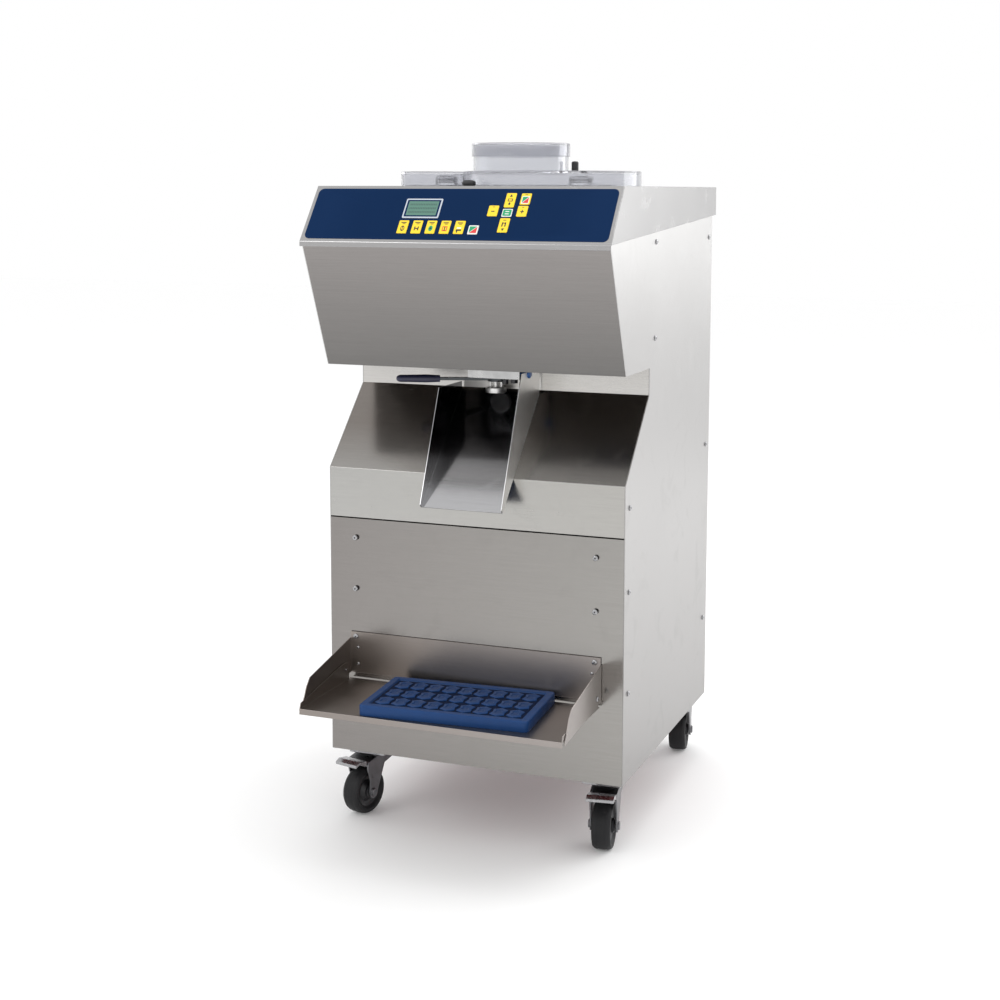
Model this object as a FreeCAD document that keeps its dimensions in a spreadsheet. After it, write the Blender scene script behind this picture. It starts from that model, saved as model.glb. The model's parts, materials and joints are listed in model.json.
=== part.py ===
import FreeCAD, Part
import math
import os

import Sketcher

# Upright batch machine for soft ice cream: a steel cabinet on castors, a freezing cylinder under clear
# lids, a slanted control panel, an outlet with its lever and chute, and a hanging shelf with a rubber mat.
# Millimetres. X to the right, Y to the rear, Z up from the floor; the origin is under the middle of the
# machine's box. Depths are counted from the face of the lower front panel, heights from the floor.

Vector = FreeCAD.Vector
X_AXIS = Vector(1, 0, 0)
Y_AXIS = Vector(0, 1, 0)
Z_AXIS = Vector(0, 0, 1)

document = FreeCAD.newDocument("soft_serve_machine")
sheet = document.addObject("Spreadsheet::Sheet", "sizes")
parts = []


class Dim:
    """A size that knows both its value and the spreadsheet expression that gives it."""

    def __init__(self, value, text):
        self.value = float(value)
        self.text = text

    def __add__(self, other):
        other = dim(other)
        return Dim(self.value + other.value, f"({self.text} + {other.text})")

    def __sub__(self, other):
        other = dim(other)
        return Dim(self.value - other.value, f"({self.text} - {other.text})")

    def __mul__(self, other):
        other = dim(other)
        return Dim(self.value * other.value, f"({self.text} * {other.text})")

    def __truediv__(self, other):
        other = dim(other)
        return Dim(self.value / other.value, f"({self.text} / {other.text})")

    def __radd__(self, other):
        return dim(other) + self

    def __rsub__(self, other):
        return dim(other) - self

    def __rmul__(self, other):
        return dim(other) * self

    def __rtruediv__(self, other):
        return dim(other) / self

    def __neg__(self):
        return Dim(-self.value, f"(0 - {self.text})")


def dim(size):
    """Any number as a Dim."""
    return size if isinstance(size, Dim) else Dim(size, f"({float(size):g})")


def hypotenuse(across, along):
    return Dim(math.hypot(across.value, along.value), f"sqrt({across.text} ^ 2 + {along.text} ^ 2)")


def cell(name, size, meaning):
    """Writes one driving size into the spreadsheet and returns it as a Dim."""
    row = cell.next_row
    cell.next_row += 1
    sheet.set(f"A{row}", meaning)
    sheet.set(f"B{row}", f"{size:g}")
    sheet.setAlias(f"B{row}", name)
    return Dim(size, f"sizes.{name}")


cell.next_row = 1

# --- Driving sizes ------------------------------------------------------------------------------------

wall = cell("sheet_wall", 1.5, "thickness of the steel sheet")
half_width = cell("half_width", 260, "half the cabinet's width")
body_depth = cell("body_depth", 540, "cabinet's depth at the sides")
front_face = cell("front_face", -204.25, "Y of the lower front panel's face")
body_foot = cell("body_foot", 123, "underside of the cabinet")
worktop = cell("worktop", 1083, "top of the cabinet")
seam_level = cell("seam_level", 527.5, "top edge of the lower front panel")
seam_gap = cell("seam_gap", 2, "gap between the lower front panel and the band above it")
band_top = cell("band_top", 613, "where the recess starts to slope back")
notch_depth = cell("notch_depth", 130, "depth of the recess under the head")
notch_level = cell("notch_level", 743, "where the slope meets the upright strip")
head_foot = cell("head_foot", 787.5, "underside of the head")
head_foot_lead = cell("head_foot_lead", 3, "how far the head's bottom edge stands ahead of the front panel")
head_top = cell("head_top", 990.5, "top edge of the head's front")
head_top_lead = cell("head_top_lead", 91, "how far that edge stands ahead of the front panel")
fascia_top_lead = cell("fascia_top_lead", 28, "how far the control panel's top edge stands ahead")
fascia_foot_lead = cell("fascia_foot_lead", 96, "how far its bottom edge stands ahead")
fascia_foot = cell("fascia_foot", 994.5, "height of the control panel's bottom edge")
lip_drop = cell("lip_drop", 8, "height of the lip folded under the control panel")
cover_half = cell("cover_half", 261.5, "half the top cover's width")
cover_rear = cell("cover_rear", 562, "depth at which the top cover ends")
skirt_level = cell("skirt_level", 1032, "lower edge of the top cover at the rear")

cylinder_x = cell("cylinder_x", 57, "freezing cylinder's axis across")
cylinder_depth = cell("cylinder_depth", 222, "freezing cylinder's axis from the front")
cylinder_radius = cell("cylinder_radius", 122, "freezing cylinder outside")
cylinder_foot = cell("cylinder_foot", 800, "underside of the freezing cylinder")
tank_x = cell("tank_x", -154, "mix tank's axis across")
tank_depth = cell("tank_depth", 200, "mix tank's axis from the front")
tank_radius = cell("tank_radius", 44, "mix tank outside")

large_lid_radius = cell("large_lid_radius", 152.5, "large lid")
small_lid_radius = cell("small_lid_radius", 56.5, "small lid")
lid_height = cell("lid_height", 25, "height of both lids")
lid_wall = cell("lid_wall", 4, "thickness of the clear lids")
lid_clearance = cell("lid_clearance", 0.3, "gap under the lids")
chimney_radius = cell("chimney_radius", 82, "filling chimney outside")
chimney_top = cell("chimney_top", 1150, "top of the filling chimney")
cap_radius = cell("cap_radius", 84.5, "filling cap outside")
cap_top = cell("cap_top", 1156, "top of the machine")
cap_skirt = cell("cap_skirt", 22, "height of the filling cap")
hinge_level = cell("hinge_level", 1096, "height of the lid hinges' pins")
pin_radius = cell("pin_radius", 3, "lid hinges' pins")
running_gap = cell("running_gap", 0.05, "radial play of anything that turns on a pin")

key_width = cell("key_width", 16.5, "width of a key")
key_travel = cell("key_travel", 0.6, "how far a key goes in")
key_play = cell("key_play", 0.3, "gap round a key")
membrane_wall = cell("membrane_wall", 0.5, "thickness of the keypad's skin")

shelf_half = cell("shelf_half", 222.1, "half the width inside the shelf bracket's arms")
shelf_level = cell("shelf_level", 252, "underside of the tray's floor")
shelf_lead = cell("shelf_lead", 190, "how far the tray stands ahead of the front panel")
tray_pivot_lead = cell("tray_pivot_lead", 25, "tray's pivot ahead of the front panel")
tray_pivot_level = cell("tray_pivot_level", 272, "height of the tray's pivot")
stud_x = cell("stud_x", 212, "shelf studs either side of the middle")
stud_levels = [
    cell("stud_low", 325, "lowest pair of shelf studs"),
    cell("stud_middle", 407.5, "middle pair of shelf studs"),
    cell("stud_high", 495, "highest pair of shelf studs"),
]
mat_length = cell("mat_length", 279, "rubber mat across")
mat_width = cell("mat_width", 161, "rubber mat from front to rear")
mat_height = cell("mat_height", 17.5, "rubber mat's thickness")

chute_half = cell("chute_half", 71, "half the chute's width")
chute_lead = cell("chute_lead", 48, "how far the chute's floor stands ahead of the front panel")
cheek_top = cell("cheek_top", 753, "top edge of the chute's left cheek")
right_cheek_top = cell("right_cheek_top", 780, "top edge of its right cheek")
gate_depth = cell("gate_depth", 105, "gate pivot from the front")
block_foot = cell("block_foot", 768, "underside of the outlet block")
lever_level = cell("lever_level", 762, "height of the gate lever")
lever_angle = cell("lever_angle", 200, "the lever's direction, degrees from +X")

castor_x = cell("castor_x", 212, "castor pivots either side of the middle")
castor_front = cell("castor_front", 78, "front castors' pivots from the front")
castor_rear = cell("castor_rear", 519.7, "rear castors' pivots from the front")
castor_trail = cell("castor_trail", 38, "axle behind the pivot")
castor_height = cell("castor_height", 110, "top of the castors")
wheel_radius = cell("wheel_radius", 40, "castor wheels")
wheel_half = cell("wheel_half", 16, "half the tread's width")

screw_radius = cell("screw_radius", 2.4, "screws' shanks")
screw_head = cell("screw_head", 4.5, "button heads")


def at(depth):
    """Y of a depth behind the lower front panel's face."""
    return front_face + depth


# --- Building helpers ---------------------------------------------------------------------------------


def bind(thing, **sizes):
    """Ties properties of a document object to spreadsheet expressions."""
    for name, size in sizes.items():
        thing.setExpression(name, dim(size).text)


def place(thing, x=0, y=0, z=0, axis=None, angle=0):
    """Turns a thing about an axis through its own origin, then moves the origin to x, y, z."""
    if axis is not None:
        angle = dim(angle)
        thing.Placement = FreeCAD.Placement(Vector(), FreeCAD.Rotation(axis, angle.value))
    for letter, size in (("x", x), ("y", y), ("z", z)):
        thing.setExpression(f"Placement.Base.{letter}", dim(size).text)
    return thing


def body(label):
    made = document.addObject("PartDesign::Body", "Body_" + label)
    made.Label = label
    return made


def sketch_on(owner, role, offset=0):
    """A sketch on one of a body's own origin planes, moved along its normal."""
    plane = next(f for f in owner.Origin.OriginFeatures if f.Role == role)
    made = owner.newObject("Sketcher::SketchObject", "Sketch")
    made.AttachmentSupport = [(plane, "")]
    made.MapMode = "FlatFace"
    made.setExpression("AttachmentOffset.Base.z", dim(offset).text)
    return made


def fix(drawing, kind, element, point, size):
    size = dim(size)
    number = drawing.addConstraint(Sketcher.Constraint(kind, -1, 1, element, point, size.value))
    drawing.setExpression(f"Constraints[{number}]", size.text)


def polygon(drawing, corners):
    """A closed outline whose corners are all tied to the spreadsheet."""
    first = drawing.GeometryCount
    corners = [(dim(across), dim(up)) for across, up in corners]
    for number, start in enumerate(corners):
        end = corners[(number + 1) % len(corners)]
        ends = [Vector(across.value, up.value, 0) for across, up in (start, end)]
        drawing.addGeometry(Part.LineSegment(*ends), False)
    for number, (across, up) in enumerate(corners):
        following = first + (number + 1) % len(corners)
        drawing.addConstraint(Sketcher.Constraint("Coincident", first + number, 2, following, 1))
        fix(drawing, "DistanceX", first + number, 1, across)
        fix(drawing, "DistanceY", first + number, 1, up)


def circle(drawing, across, up, radius):
    across, up, radius = dim(across), dim(up), dim(radius)
    centre = Vector(across.value, up.value, 0)
    element = drawing.addGeometry(Part.Circle(centre, Z_AXIS, radius.value), False)
    fix(drawing, "DistanceX", element, 3, across)
    fix(drawing, "DistanceY", element, 3, up)
    number = drawing.addConstraint(Sketcher.Constraint("Radius", element, radius.value))
    drawing.setExpression(f"Constraints[{number}]", radius.text)


def rectangle(left, low, right, high):
    return [(left, low), (right, low), (right, high), (left, high)]


def pad(owner, role, start, length, corners=(), circles=()):
    """Adds a prism from start to start + length along the plane's normal."""
    drawing = sketch_on(owner, role, start)
    if corners:
        polygon(drawing, corners)
    for one in circles:
        circle(drawing, *one)
    made = owner.newObject("PartDesign::Pad", "Pad")
    made.Profile = drawing
    bind(made, Length=length)
    return made


def pocket(owner, role, start, length, outlines=(), circles=()):
    """Cuts prisms from start to start + length along the plane's normal, and makes sure that they cut."""
    document.recompute()
    before = owner.Shape.Volume
    drawing = sketch_on(owner, role, start + dim(length))
    for corners in outlines:
        polygon(drawing, corners)
    for one in circles:
        circle(drawing, *one)
    made = owner.newObject("PartDesign::Pocket", "Pocket")
    made.Profile = drawing
    bind(made, Length=length)
    document.recompute()
    if not owner.Shape.Volume < before:
        raise RuntimeError(f"{owner.Label}: a pocket cut nothing")
    return made


def revolve(owner, corners, role="XZ_Plane", axis="V_Axis"):
    """Turns a half outline, given as radius and height, about the upright axis of the sketch."""
    drawing = sketch_on(owner, role)
    polygon(drawing, corners)
    made = owner.newObject("PartDesign::Revolution", "Revolution")
    made.Profile = drawing
    made.ReferenceAxis = (drawing, [axis])
    made.Angle = 360
    return made


def fillet_upright_edges(owner, radius):
    """Rounds every edge of a body that runs along Z."""
    document.recompute()
    solid = owner.Tip
    upright = []
    for number, edge in enumerate(solid.Shape.Edges, start=1):
        along = edge.tangentAt(edge.FirstParameter)
        if edge.Curve.TypeId == "Part::GeomLine" and abs(along.z) > 0.999:
            upright.append(f"Edge{number}")
    made = owner.newObject("PartDesign::Fillet", "Fillet")
    made.Base = (solid, upright)
    bind(made, Radius=radius)
    return made


def box(x, y, z, length, width, height):
    made = document.addObject("Part::Box", "Box")
    bind(made, Length=length, Width=width, Height=height)
    return place(made, x, y, z)


def cylinder(radius, height, x=0, y=0, z=0, axis=None, angle=0):
    made = document.addObject("Part::Cylinder", "Cylinder")
    bind(made, Radius=radius, Height=height)
    return place(made, x, y, z, axis, angle)


def cone(low_radius, high_radius, height, x=0, y=0, z=0):
    made = document.addObject("Part::Cone", "Cone")
    bind(made, Radius1=low_radius, Radius2=high_radius, Height=height)
    return place(made, x, y, z)


def fuse(*shapes):
    made = document.addObject("Part::MultiFuse", "Fuse")
    made.Shapes = list(shapes)
    made.Refine = True
    return made


def cut(base, *tools):
    made = document.addObject("Part::Cut", "Cut")
    made.Base = base
    made.Tool = tools[0] if len(tools) == 1 else fuse(*tools)
    return made


def group(*shapes):
    """Separate solids that share one node."""
    made = document.addObject("Part::Compound", "Group")
    made.Links = list(shapes)
    return made


def keep(thing, label=None):
    """Marks a thing as a finished sub-part."""
    if label:
        thing.Label = label
    parts.append(thing)
    return thing


def bent_sheet(bends, thickness):
    """Outline of a folded sheet: its outer bends, then the same bends moved by the thickness.

    A positive thickness lies to the left of the line that runs through the bends."""
    bends = [(dim(across), dim(up)) for across, up in bends]
    normals = []
    for (across_a, up_a), (across_b, up_b) in zip(bends, bends[1:]):
        run, rise = across_b - across_a, up_b - up_a
        size = hypotenuse(run, rise)
        normals.append((-rise / size, run / size))
    moved = []
    for number, (across, up) in enumerate(bends):
        before = normals[max(number - 1, 0)]
        after = normals[min(number, len(normals) - 1)]
        share = thickness / (1 + before[0] * after[0] + before[1] * after[1])
        moved.append((across + share * (before[0] + after[0]), up + share * (before[1] + after[1])))
    return bends + moved[::-1]


# --- Cabinet ------------------------------------------------------------------------------------------

SIDE_SCREWS = [(24, 575), (24, 438), (24, 271), (159, 993), (159, 835), (515, 992), (515, 607), (515, 276)]
SCREW_HOLE = screw_radius + 0.1


def side_panel(label, inner_x):
    """Side of the cabinet, cut to the profile of the head, the recess and the lower front."""
    made = body(label)
    outline = [
        (at(0), body_foot),
        (at(body_depth), body_foot),
        (at(body_depth), worktop - wall),
        (at(-fascia_top_lead + 2 * wall), worktop - wall),
        (at(-head_top_lead), head_top),
        (at(-head_foot_lead), head_foot),
        (at(notch_depth), head_foot),
        (at(notch_depth), notch_level),
        (at(0), band_top),
    ]
    pad(made, "YZ_Plane", inner_x, wall, outline)
    holes = [(at(depth), level, SCREW_HOLE) for depth, level in SIDE_SCREWS]
    pocket(made, "YZ_Plane", inner_x, wall, circles=holes)
    return keep(made)


def across_pad(made, corners, half=None):
    """Pads an outline in Y and Z between the two side panels."""
    half = half_width - wall if half is None else half
    return pad(made, "YZ_Plane", -half, 2 * half, corners)


def lower_front_panel():
    made = body("lower_front_panel")
    inner = half_width - wall
    outline = rectangle(-inner, body_foot, inner, seam_level)
    holes = [(side * stud_x, level, SCREW_HOLE) for side in (-1, 1) for level in stud_levels]
    pad(made, "XZ_Plane", -at(wall), wall, outline, holes)
    return keep(made)


def recess_panel():
    made = body("recess_panel")
    bends = [
        (at(0), seam_level + seam_gap),
        (at(0), band_top),
        (at(notch_depth), notch_level),
        (at(notch_depth), head_foot),
    ]
    across_pad(made, bent_sheet(bends, -wall))
    return keep(made)


def head_front_panel():
    made = body("head_front_panel")
    bends = [
        (at(-head_top_lead), head_top),
        (at(-head_foot_lead), head_foot),
        (at(notch_depth), head_foot),
    ]
    across_pad(made, bent_sheet(bends, wall))
    opening = rectangle(OUTLET_LEFT - 2, at(OUTLET_FRONT - 2), OUTLET_RIGHT + 2, at(OUTLET_REAR + 2))
    pocket(made, "XY_Plane", head_foot, wall, [opening])
    return keep(made)


def rear_panel():
    """Back of the cabinet with its air slots, and the gland that the mains lead would come through."""
    made = body("rear_panel_sheet")
    inner = half_width - wall
    outline = rectangle(-inner, body_foot, inner, worktop - wall)
    gland_hole = [(GLAND_X, GLAND_LEVEL, GLAND_RADIUS)]
    pad(made, "XZ_Plane", -at(body_depth), wall, outline, gland_hole)
    slot = rectangle(-SLOT_HALF, SLOT_LEVEL, SLOT_HALF, SLOT_LEVEL + SLOT_HEIGHT)
    first = pocket(made, "XZ_Plane", -at(body_depth), wall, [slot])
    rows = made.newObject("PartDesign::LinearPattern", "Slots")
    rows.Originals = [first]
    rows.Direction = (first.Profile[0], ["V_Axis"])
    rows.Length = SLOT_PITCH * (SLOT_COUNT - 1)
    rows.Occurrences = SLOT_COUNT
    made.Tip = rows
    gland = body("cable_gland")
    bore = dim(GLAND_BORE)
    outline = [
        (bore, 0),
        (GLAND_RADIUS, 0),
        (GLAND_RADIUS, GLAND_INSIDE),
        (GLAND_FLANGE, GLAND_INSIDE),
        (GLAND_FLANGE, GLAND_INSIDE + 6),
        (bore + 3, GLAND_LENGTH),
        (bore, GLAND_LENGTH),
    ]
    revolve(gland, outline)
    place(gland, GLAND_X, at(body_depth - GLAND_INSIDE), GLAND_LEVEL, X_AXIS, -90)
    return keep(group(made, gland), "rear_panel")


def top_cover():
    """Worktop folded down at both sides and the rear; its side edges run straight to the rear skirt."""
    made = body("top_cover")
    slope = fascia_foot_lead - fascia_top_lead
    lean = slope / (worktop - fascia_foot)
    edge = 2 * wall
    outline = [
        (at(-fascia_top_lead + edge), worktop),
        (at(cover_rear), worktop),
        (at(cover_rear), skirt_level),
        (at(-fascia_foot_lead + edge), fascia_foot),
    ]
    across_pad(made, outline, cover_half)
    low = fascia_foot - 3 * lip_drop
    hollow = [
        (at(-fascia_top_lead + edge - lean * wall - 5 * wall), worktop - wall),
        (at(cover_rear - wall), worktop - wall),
        (at(cover_rear - wall), low),
        (at(-fascia_foot_lead - 5 * wall), low),
    ]
    pocket(made, "YZ_Plane", -half_width, 2 * half_width, [hollow])
    holes = [
        (cylinder_x, at(cylinder_depth), cylinder_radius + 6),
        (tank_x, at(tank_depth), tank_radius + 2),
        (LATCH_X, at(LATCH_DEPTH), LATCH_STEM + running_gap),
    ]
    pocket(made, "XY_Plane", worktop - wall, wall, circles=holes)
    return keep(made)


def base_frame():
    """Rails over the castors, floor pan, corner angles, deck for the gear motor and cylinder beams."""
    rail_length = cover_rear - RAIL_FRONT
    rail_height = body_foot - castor_height
    pieces = []
    for side in (-1, 1):
        left = side * castor_x - RAIL_WIDTH / 2
        pieces.append(box(left, at(RAIL_FRONT), castor_height, RAIL_WIDTH, rail_length, rail_height))
    inner = half_width - wall
    pan = box(-inner, at(wall), body_foot, 2 * inner, body_depth - 2 * wall, PAN_WALL)
    pieces.append(pan)
    post_foot = body_foot + PAN_WALL
    post_height = POST_TOP - post_foot
    for side in (-1, 1):
        for depth, open_towards in ((POST_FRONT, 1), (POST_REAR, -1)):
            left = inner - POST_SIZE - 1 if side > 0 else -inner + 1
            post = box(left, at(depth), post_foot, POST_SIZE, POST_SIZE, post_height)
            shift_x = 0 if side > 0 else ANGLE_WALL
            shift_y = ANGLE_WALL if open_towards > 0 else 0
            leg = POST_SIZE - ANGLE_WALL
            hollow = box(left + shift_x, at(depth + shift_y), post_foot, leg, leg, post_height)
            pieces.append(cut(post, hollow))
    reach = inner - 1
    deck_depth = POST_REAR + POST_SIZE - POST_FRONT
    pieces.append(box(-reach, at(POST_FRONT), DECK_LEVEL - DECK_WALL, 2 * reach, deck_depth, DECK_WALL))
    for depth in BEAM_DEPTHS:
        pieces.append(box(-reach, at(depth), cylinder_foot - BEAM_SIZE, 2 * reach, BEAM_SIZE, BEAM_SIZE))
    for left in (-reach, reach - BEAM_SIZE):
        pieces.append(box(left, at(POST_FRONT), cylinder_foot - BEAM_SIZE, BEAM_SIZE, deck_depth, BEAM_SIZE))
    return keep(fuse(*pieces), "base_frame")


# --- Fasteners ----------------------------------------------------------------------------------------


def button_screw(length, x, y, z, axis, angle):
    """A button-head screw whose shank runs down its own -Z from the underside of the head."""
    made = body("screw")
    outline = [
        (0, -length),
        (screw_radius, -length),
        (screw_radius, 0),
        (screw_head, 0),
        (screw_head, 1.6),
        (screw_head * 0.72, 2.5),
        (0, 2.7),
    ]
    revolve(made, outline)
    return place(made, x, y, z, axis, angle)


def fasteners():
    """The side panels' screws, the six studs that a shelf hangs on and the tray's two pivot screws."""
    screws = []
    for side in (-1, 1):
        for depth, level in SIDE_SCREWS:
            screws.append(button_screw(SHORT_SCREW, side * half_width, at(depth), level, Y_AXIS, side * 90))
        for level in stud_levels:
            screws.append(button_screw(STUD_LENGTH, side * stud_x, at(-2 * wall), level, X_AXIS, 90))
        arm_face = side * (shelf_half + wall)
        pivot = button_screw(
            PIVOT_LENGTH, arm_face, at(-tray_pivot_lead), tray_pivot_level, Y_AXIS, side * 90
        )
        screws.append(pivot)
    return keep(group(*screws), "button_head_screws")


# --- Control panel, in its own frame: X across, Y up the slope, Z out of the face ----------------------

fascia_run = fascia_foot_lead - fascia_top_lead
fascia_rise = worktop - fascia_foot
fascia_length = hypotenuse(fascia_run, fascia_rise)
lean_up = fascia_rise / fascia_length
lean_back = fascia_run / fascia_length

# name: centre across, centre up the slope, height of the key
KEYS = {
    "key_program_1": (-87, 30, 25),
    "key_program_2": (-62.9, 30, 25),
    "key_program_3": (-38.8, 30, 25),
    "key_program_4": (-14.7, 30, 25),
    "key_program_5": (9.4, 30, 25),
    "key_start_stop": (33.5, 25.5, 17),
    "key_up": (82, 83, 27.5),
    "key_run": (107, 85.5, 21.5),
    "key_minus": (58, 62.3, 20.5),
    "key_set": (82.2, 58.7, 15),
    "key_plus": (106.4, 62, 20.5),
    "key_down": (82, 34.7, 27),
}
LCD_CENTRE = -62.5
LCD_UP = 66.2
LCD_WIDTH = 62.5
LCD_HEIGHT = 38
MEMBRANE_MARGIN = 6
MEMBRANE_CORNER = 9


def on_panel(thing):
    """Lays a thing made in the control panel's own frame onto the slanted panel."""
    angle = math.degrees(math.atan2(fascia_rise.value, fascia_run.value))
    thing.Placement = FreeCAD.Placement(Vector(), FreeCAD.Rotation(X_AXIS, angle))
    thing.setExpression("Placement.Rotation.Angle", f"atan({fascia_rise.text} / {fascia_run.text})")
    return place(thing, 0, at(-fascia_foot_lead), fascia_foot)


def key_outline(name, play=0):
    across, up, height = KEYS[name]
    reach = key_width / 2 + play
    rise = dim(height) / 2 + play
    return rectangle(across - reach, up - rise, across + reach, up + rise)


def control_fascia():
    made = body("control_fascia")
    bends = [(fascia_length, 0), (0, 0), (-lean_up * lip_drop, -lean_back * lip_drop)]
    across_pad(made, bent_sheet(bends, wall), cover_half)
    pocket(made, "XY_Plane", -2 * wall, 3 * wall, [key_outline(name, key_play) for name in KEYS])
    on_panel(made)
    return keep(made)


def keypad_membrane():
    made = body("keypad_membrane")
    reach = cover_half - MEMBRANE_MARGIN
    outline = rectangle(-reach, MEMBRANE_MARGIN, reach, fascia_length - MEMBRANE_MARGIN)
    pad(made, "XY_Plane", 0, membrane_wall, outline)
    fillet_upright_edges(made, MEMBRANE_CORNER)
    pocket(made, "XY_Plane", -wall, 3 * wall, [key_outline(name, key_play) for name in KEYS])
    on_panel(made)
    return keep(made)


def display_window():
    made = body("display_window")
    reach, rise = LCD_WIDTH / 2, LCD_HEIGHT / 2
    outline = rectangle(LCD_CENTRE - reach, LCD_UP - rise, LCD_CENTRE + reach, LCD_UP + rise)
    pad(made, "XY_Plane", membrane_wall, 0.8, outline)
    fillet_upright_edges(made, 2)
    on_panel(made)
    return keep(made)


def key(name):
    made = body(name)
    pad(made, "XY_Plane", -wall, wall + membrane_wall + key_travel, key_outline(name))
    fillet_upright_edges(made, 1.5)
    on_panel(made)
    return keep(made)


# --- Shelf --------------------------------------------------------------------------------------------


def shelf_bracket():
    """Back plate that hangs on two studs, with an arm at each end."""
    back = body("shelf_back")
    outline = rectangle(-shelf_half, SHELF_BACK_FOOT, shelf_half, SHELF_BACK_TOP)
    holes = [(side * stud_x, stud_levels[0], SCREW_HOLE) for side in (-1, 1)]
    pad(back, "XZ_Plane", -at(-wall), wall, outline, holes)
    arms = []
    for left in (-shelf_half - wall, shelf_half):
        arm = body("shelf_arm")
        outline = [
            (at(-wall), SHELF_BACK_FOOT),
            (at(-wall), 322),
            (at(-151), 294),
            (at(-163), 282),
            (at(-171), 267),
            (at(-184), 250),
            (at(-184), 246),
        ]
        pivot = (at(-tray_pivot_lead), tray_pivot_level, SCREW_HOLE)
        pad(arm, "YZ_Plane", left, wall, outline, [pivot])
        arms.append(arm)
    return keep(fuse(back, *arms), "shelf_bracket")


def shelf_tray():
    """Folded tray between the arms, which turns up about its two pivot screws."""
    half = shelf_half - lid_clearance
    front, rear = at(-shelf_lead), at(-6)
    floor = box(-half, front, shelf_level, 2 * half, rear - front, wall)
    lip = box(-half, front, shelf_level - lip_drop, 2 * half, wall, lip_drop)
    flanges = []
    for left in (-half, half - wall):
        flange = body("tray_flange")
        outline = [
            (at(-shelf_lead), shelf_level),
            (at(-186), 262),
            (at(-42), 284),
            (at(-21), 284),
            (at(-13), 277),
            (at(-13), shelf_level),
        ]
        pivot = (at(-tray_pivot_lead), tray_pivot_level, screw_radius + running_gap)
        pad(flange, "YZ_Plane", left, wall, outline, [pivot])
        flanges.append(flange)
    return keep(fuse(floor, lip, *flanges), "shelf_tray")


def rubber_mat():
    """Thick mat with a raised rim, lying a little askew on the tray."""
    made = body("rubber_mat")
    half_long, half_wide = mat_length / 2, mat_width / 2
    pad(made, "XY_Plane", 0, mat_height, rectangle(-half_long, -half_wide, half_long, half_wide))
    fillet_upright_edges(made, MAT_CORNER)
    rim = MAT_RIM
    field = rectangle(rim - half_long, rim - half_wide, half_long - rim, half_wide - rim)
    pocket(made, "XY_Plane", mat_height - MAT_FIELD_DROP, MAT_FIELD_DROP, [field])
    place(made, MAT_X, at(-MAT_LEAD), shelf_level + wall, Z_AXIS, MAT_TURN)
    return keep(made)


# --- Outlet -------------------------------------------------------------------------------------------


def discharge_chute():
    """Open channel that lies on the sloping recess and is drawn off towards the front."""
    made = body("discharge_chute")
    half = chute_half
    rear = gate_depth + CHUTE_REAR
    nose_lean = (CHEEK_SHOULDER + CHUTE_NOSE_LEAD) / (cheek_top - CHUTE_NOSE_LEVEL)
    for start, length, top in ((-half, 2 * half, cheek_top), (half - wall, wall, right_cheek_top)):
        outline = [
            (at(-chute_lead), band_top - chute_lead),
            (at(rear), band_top + rear),
            (at(rear), top),
            (at(CHEEK_SHOULDER + (top - cheek_top) * nose_lean), top),
            (at(-CHUTE_NOSE_LEAD), CHUTE_NOSE_LEVEL),
        ]
        pad(made, "YZ_Plane", start, length, outline)
    rise = wall * math.sqrt(2)
    over = 60
    hollow = [
        (at(-chute_lead - over), band_top - chute_lead - over + rise),
        (at(rear + over), band_top + rear + over + rise),
        (at(rear + over), cheek_top + rear),
        (at(-chute_lead - over), cheek_top + over),
    ]
    pocket(made, "YZ_Plane", wall - half, 2 * (half - wall), [hollow])
    return keep(made)


def outlet_block():
    """Block under the front of the cylinder, with the passage from the cylinder to the gate."""
    height = cylinder_foot - block_foot
    width, depth = OUTLET_RIGHT - OUTLET_LEFT, OUTLET_REAR - OUTLET_FRONT
    block = box(OUTLET_LEFT, at(OUTLET_FRONT), block_foot, width, depth, height)
    bore = cylinder(GATE_BORE, height / 2 + GATE_BORE / 2, GATE_X, at(GATE_BORE_DEPTH), block_foot - 1)
    port = cylinder(PORT_BORE, height / 2 + 2, PORT_X, at(PORT_DEPTH), block_foot + height / 2)
    run, rise = PORT_X - GATE_X, PORT_DEPTH - GATE_BORE_DEPTH
    direction = FreeCAD.Rotation(Z_AXIS, Vector(run, rise, 0))
    link = cylinder(PORT_BORE, math.hypot(run, rise))
    link.Placement = FreeCAD.Placement(Vector(), direction)
    place(link, GATE_X, at(GATE_BORE_DEPTH), block_foot + height / 2)
    thread = cylinder(KNOB_STEM + running_gap, 12, 0, at(gate_depth), block_foot - 1)
    return keep(cut(block, bore, port, link, thread), "outlet_block")


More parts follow.
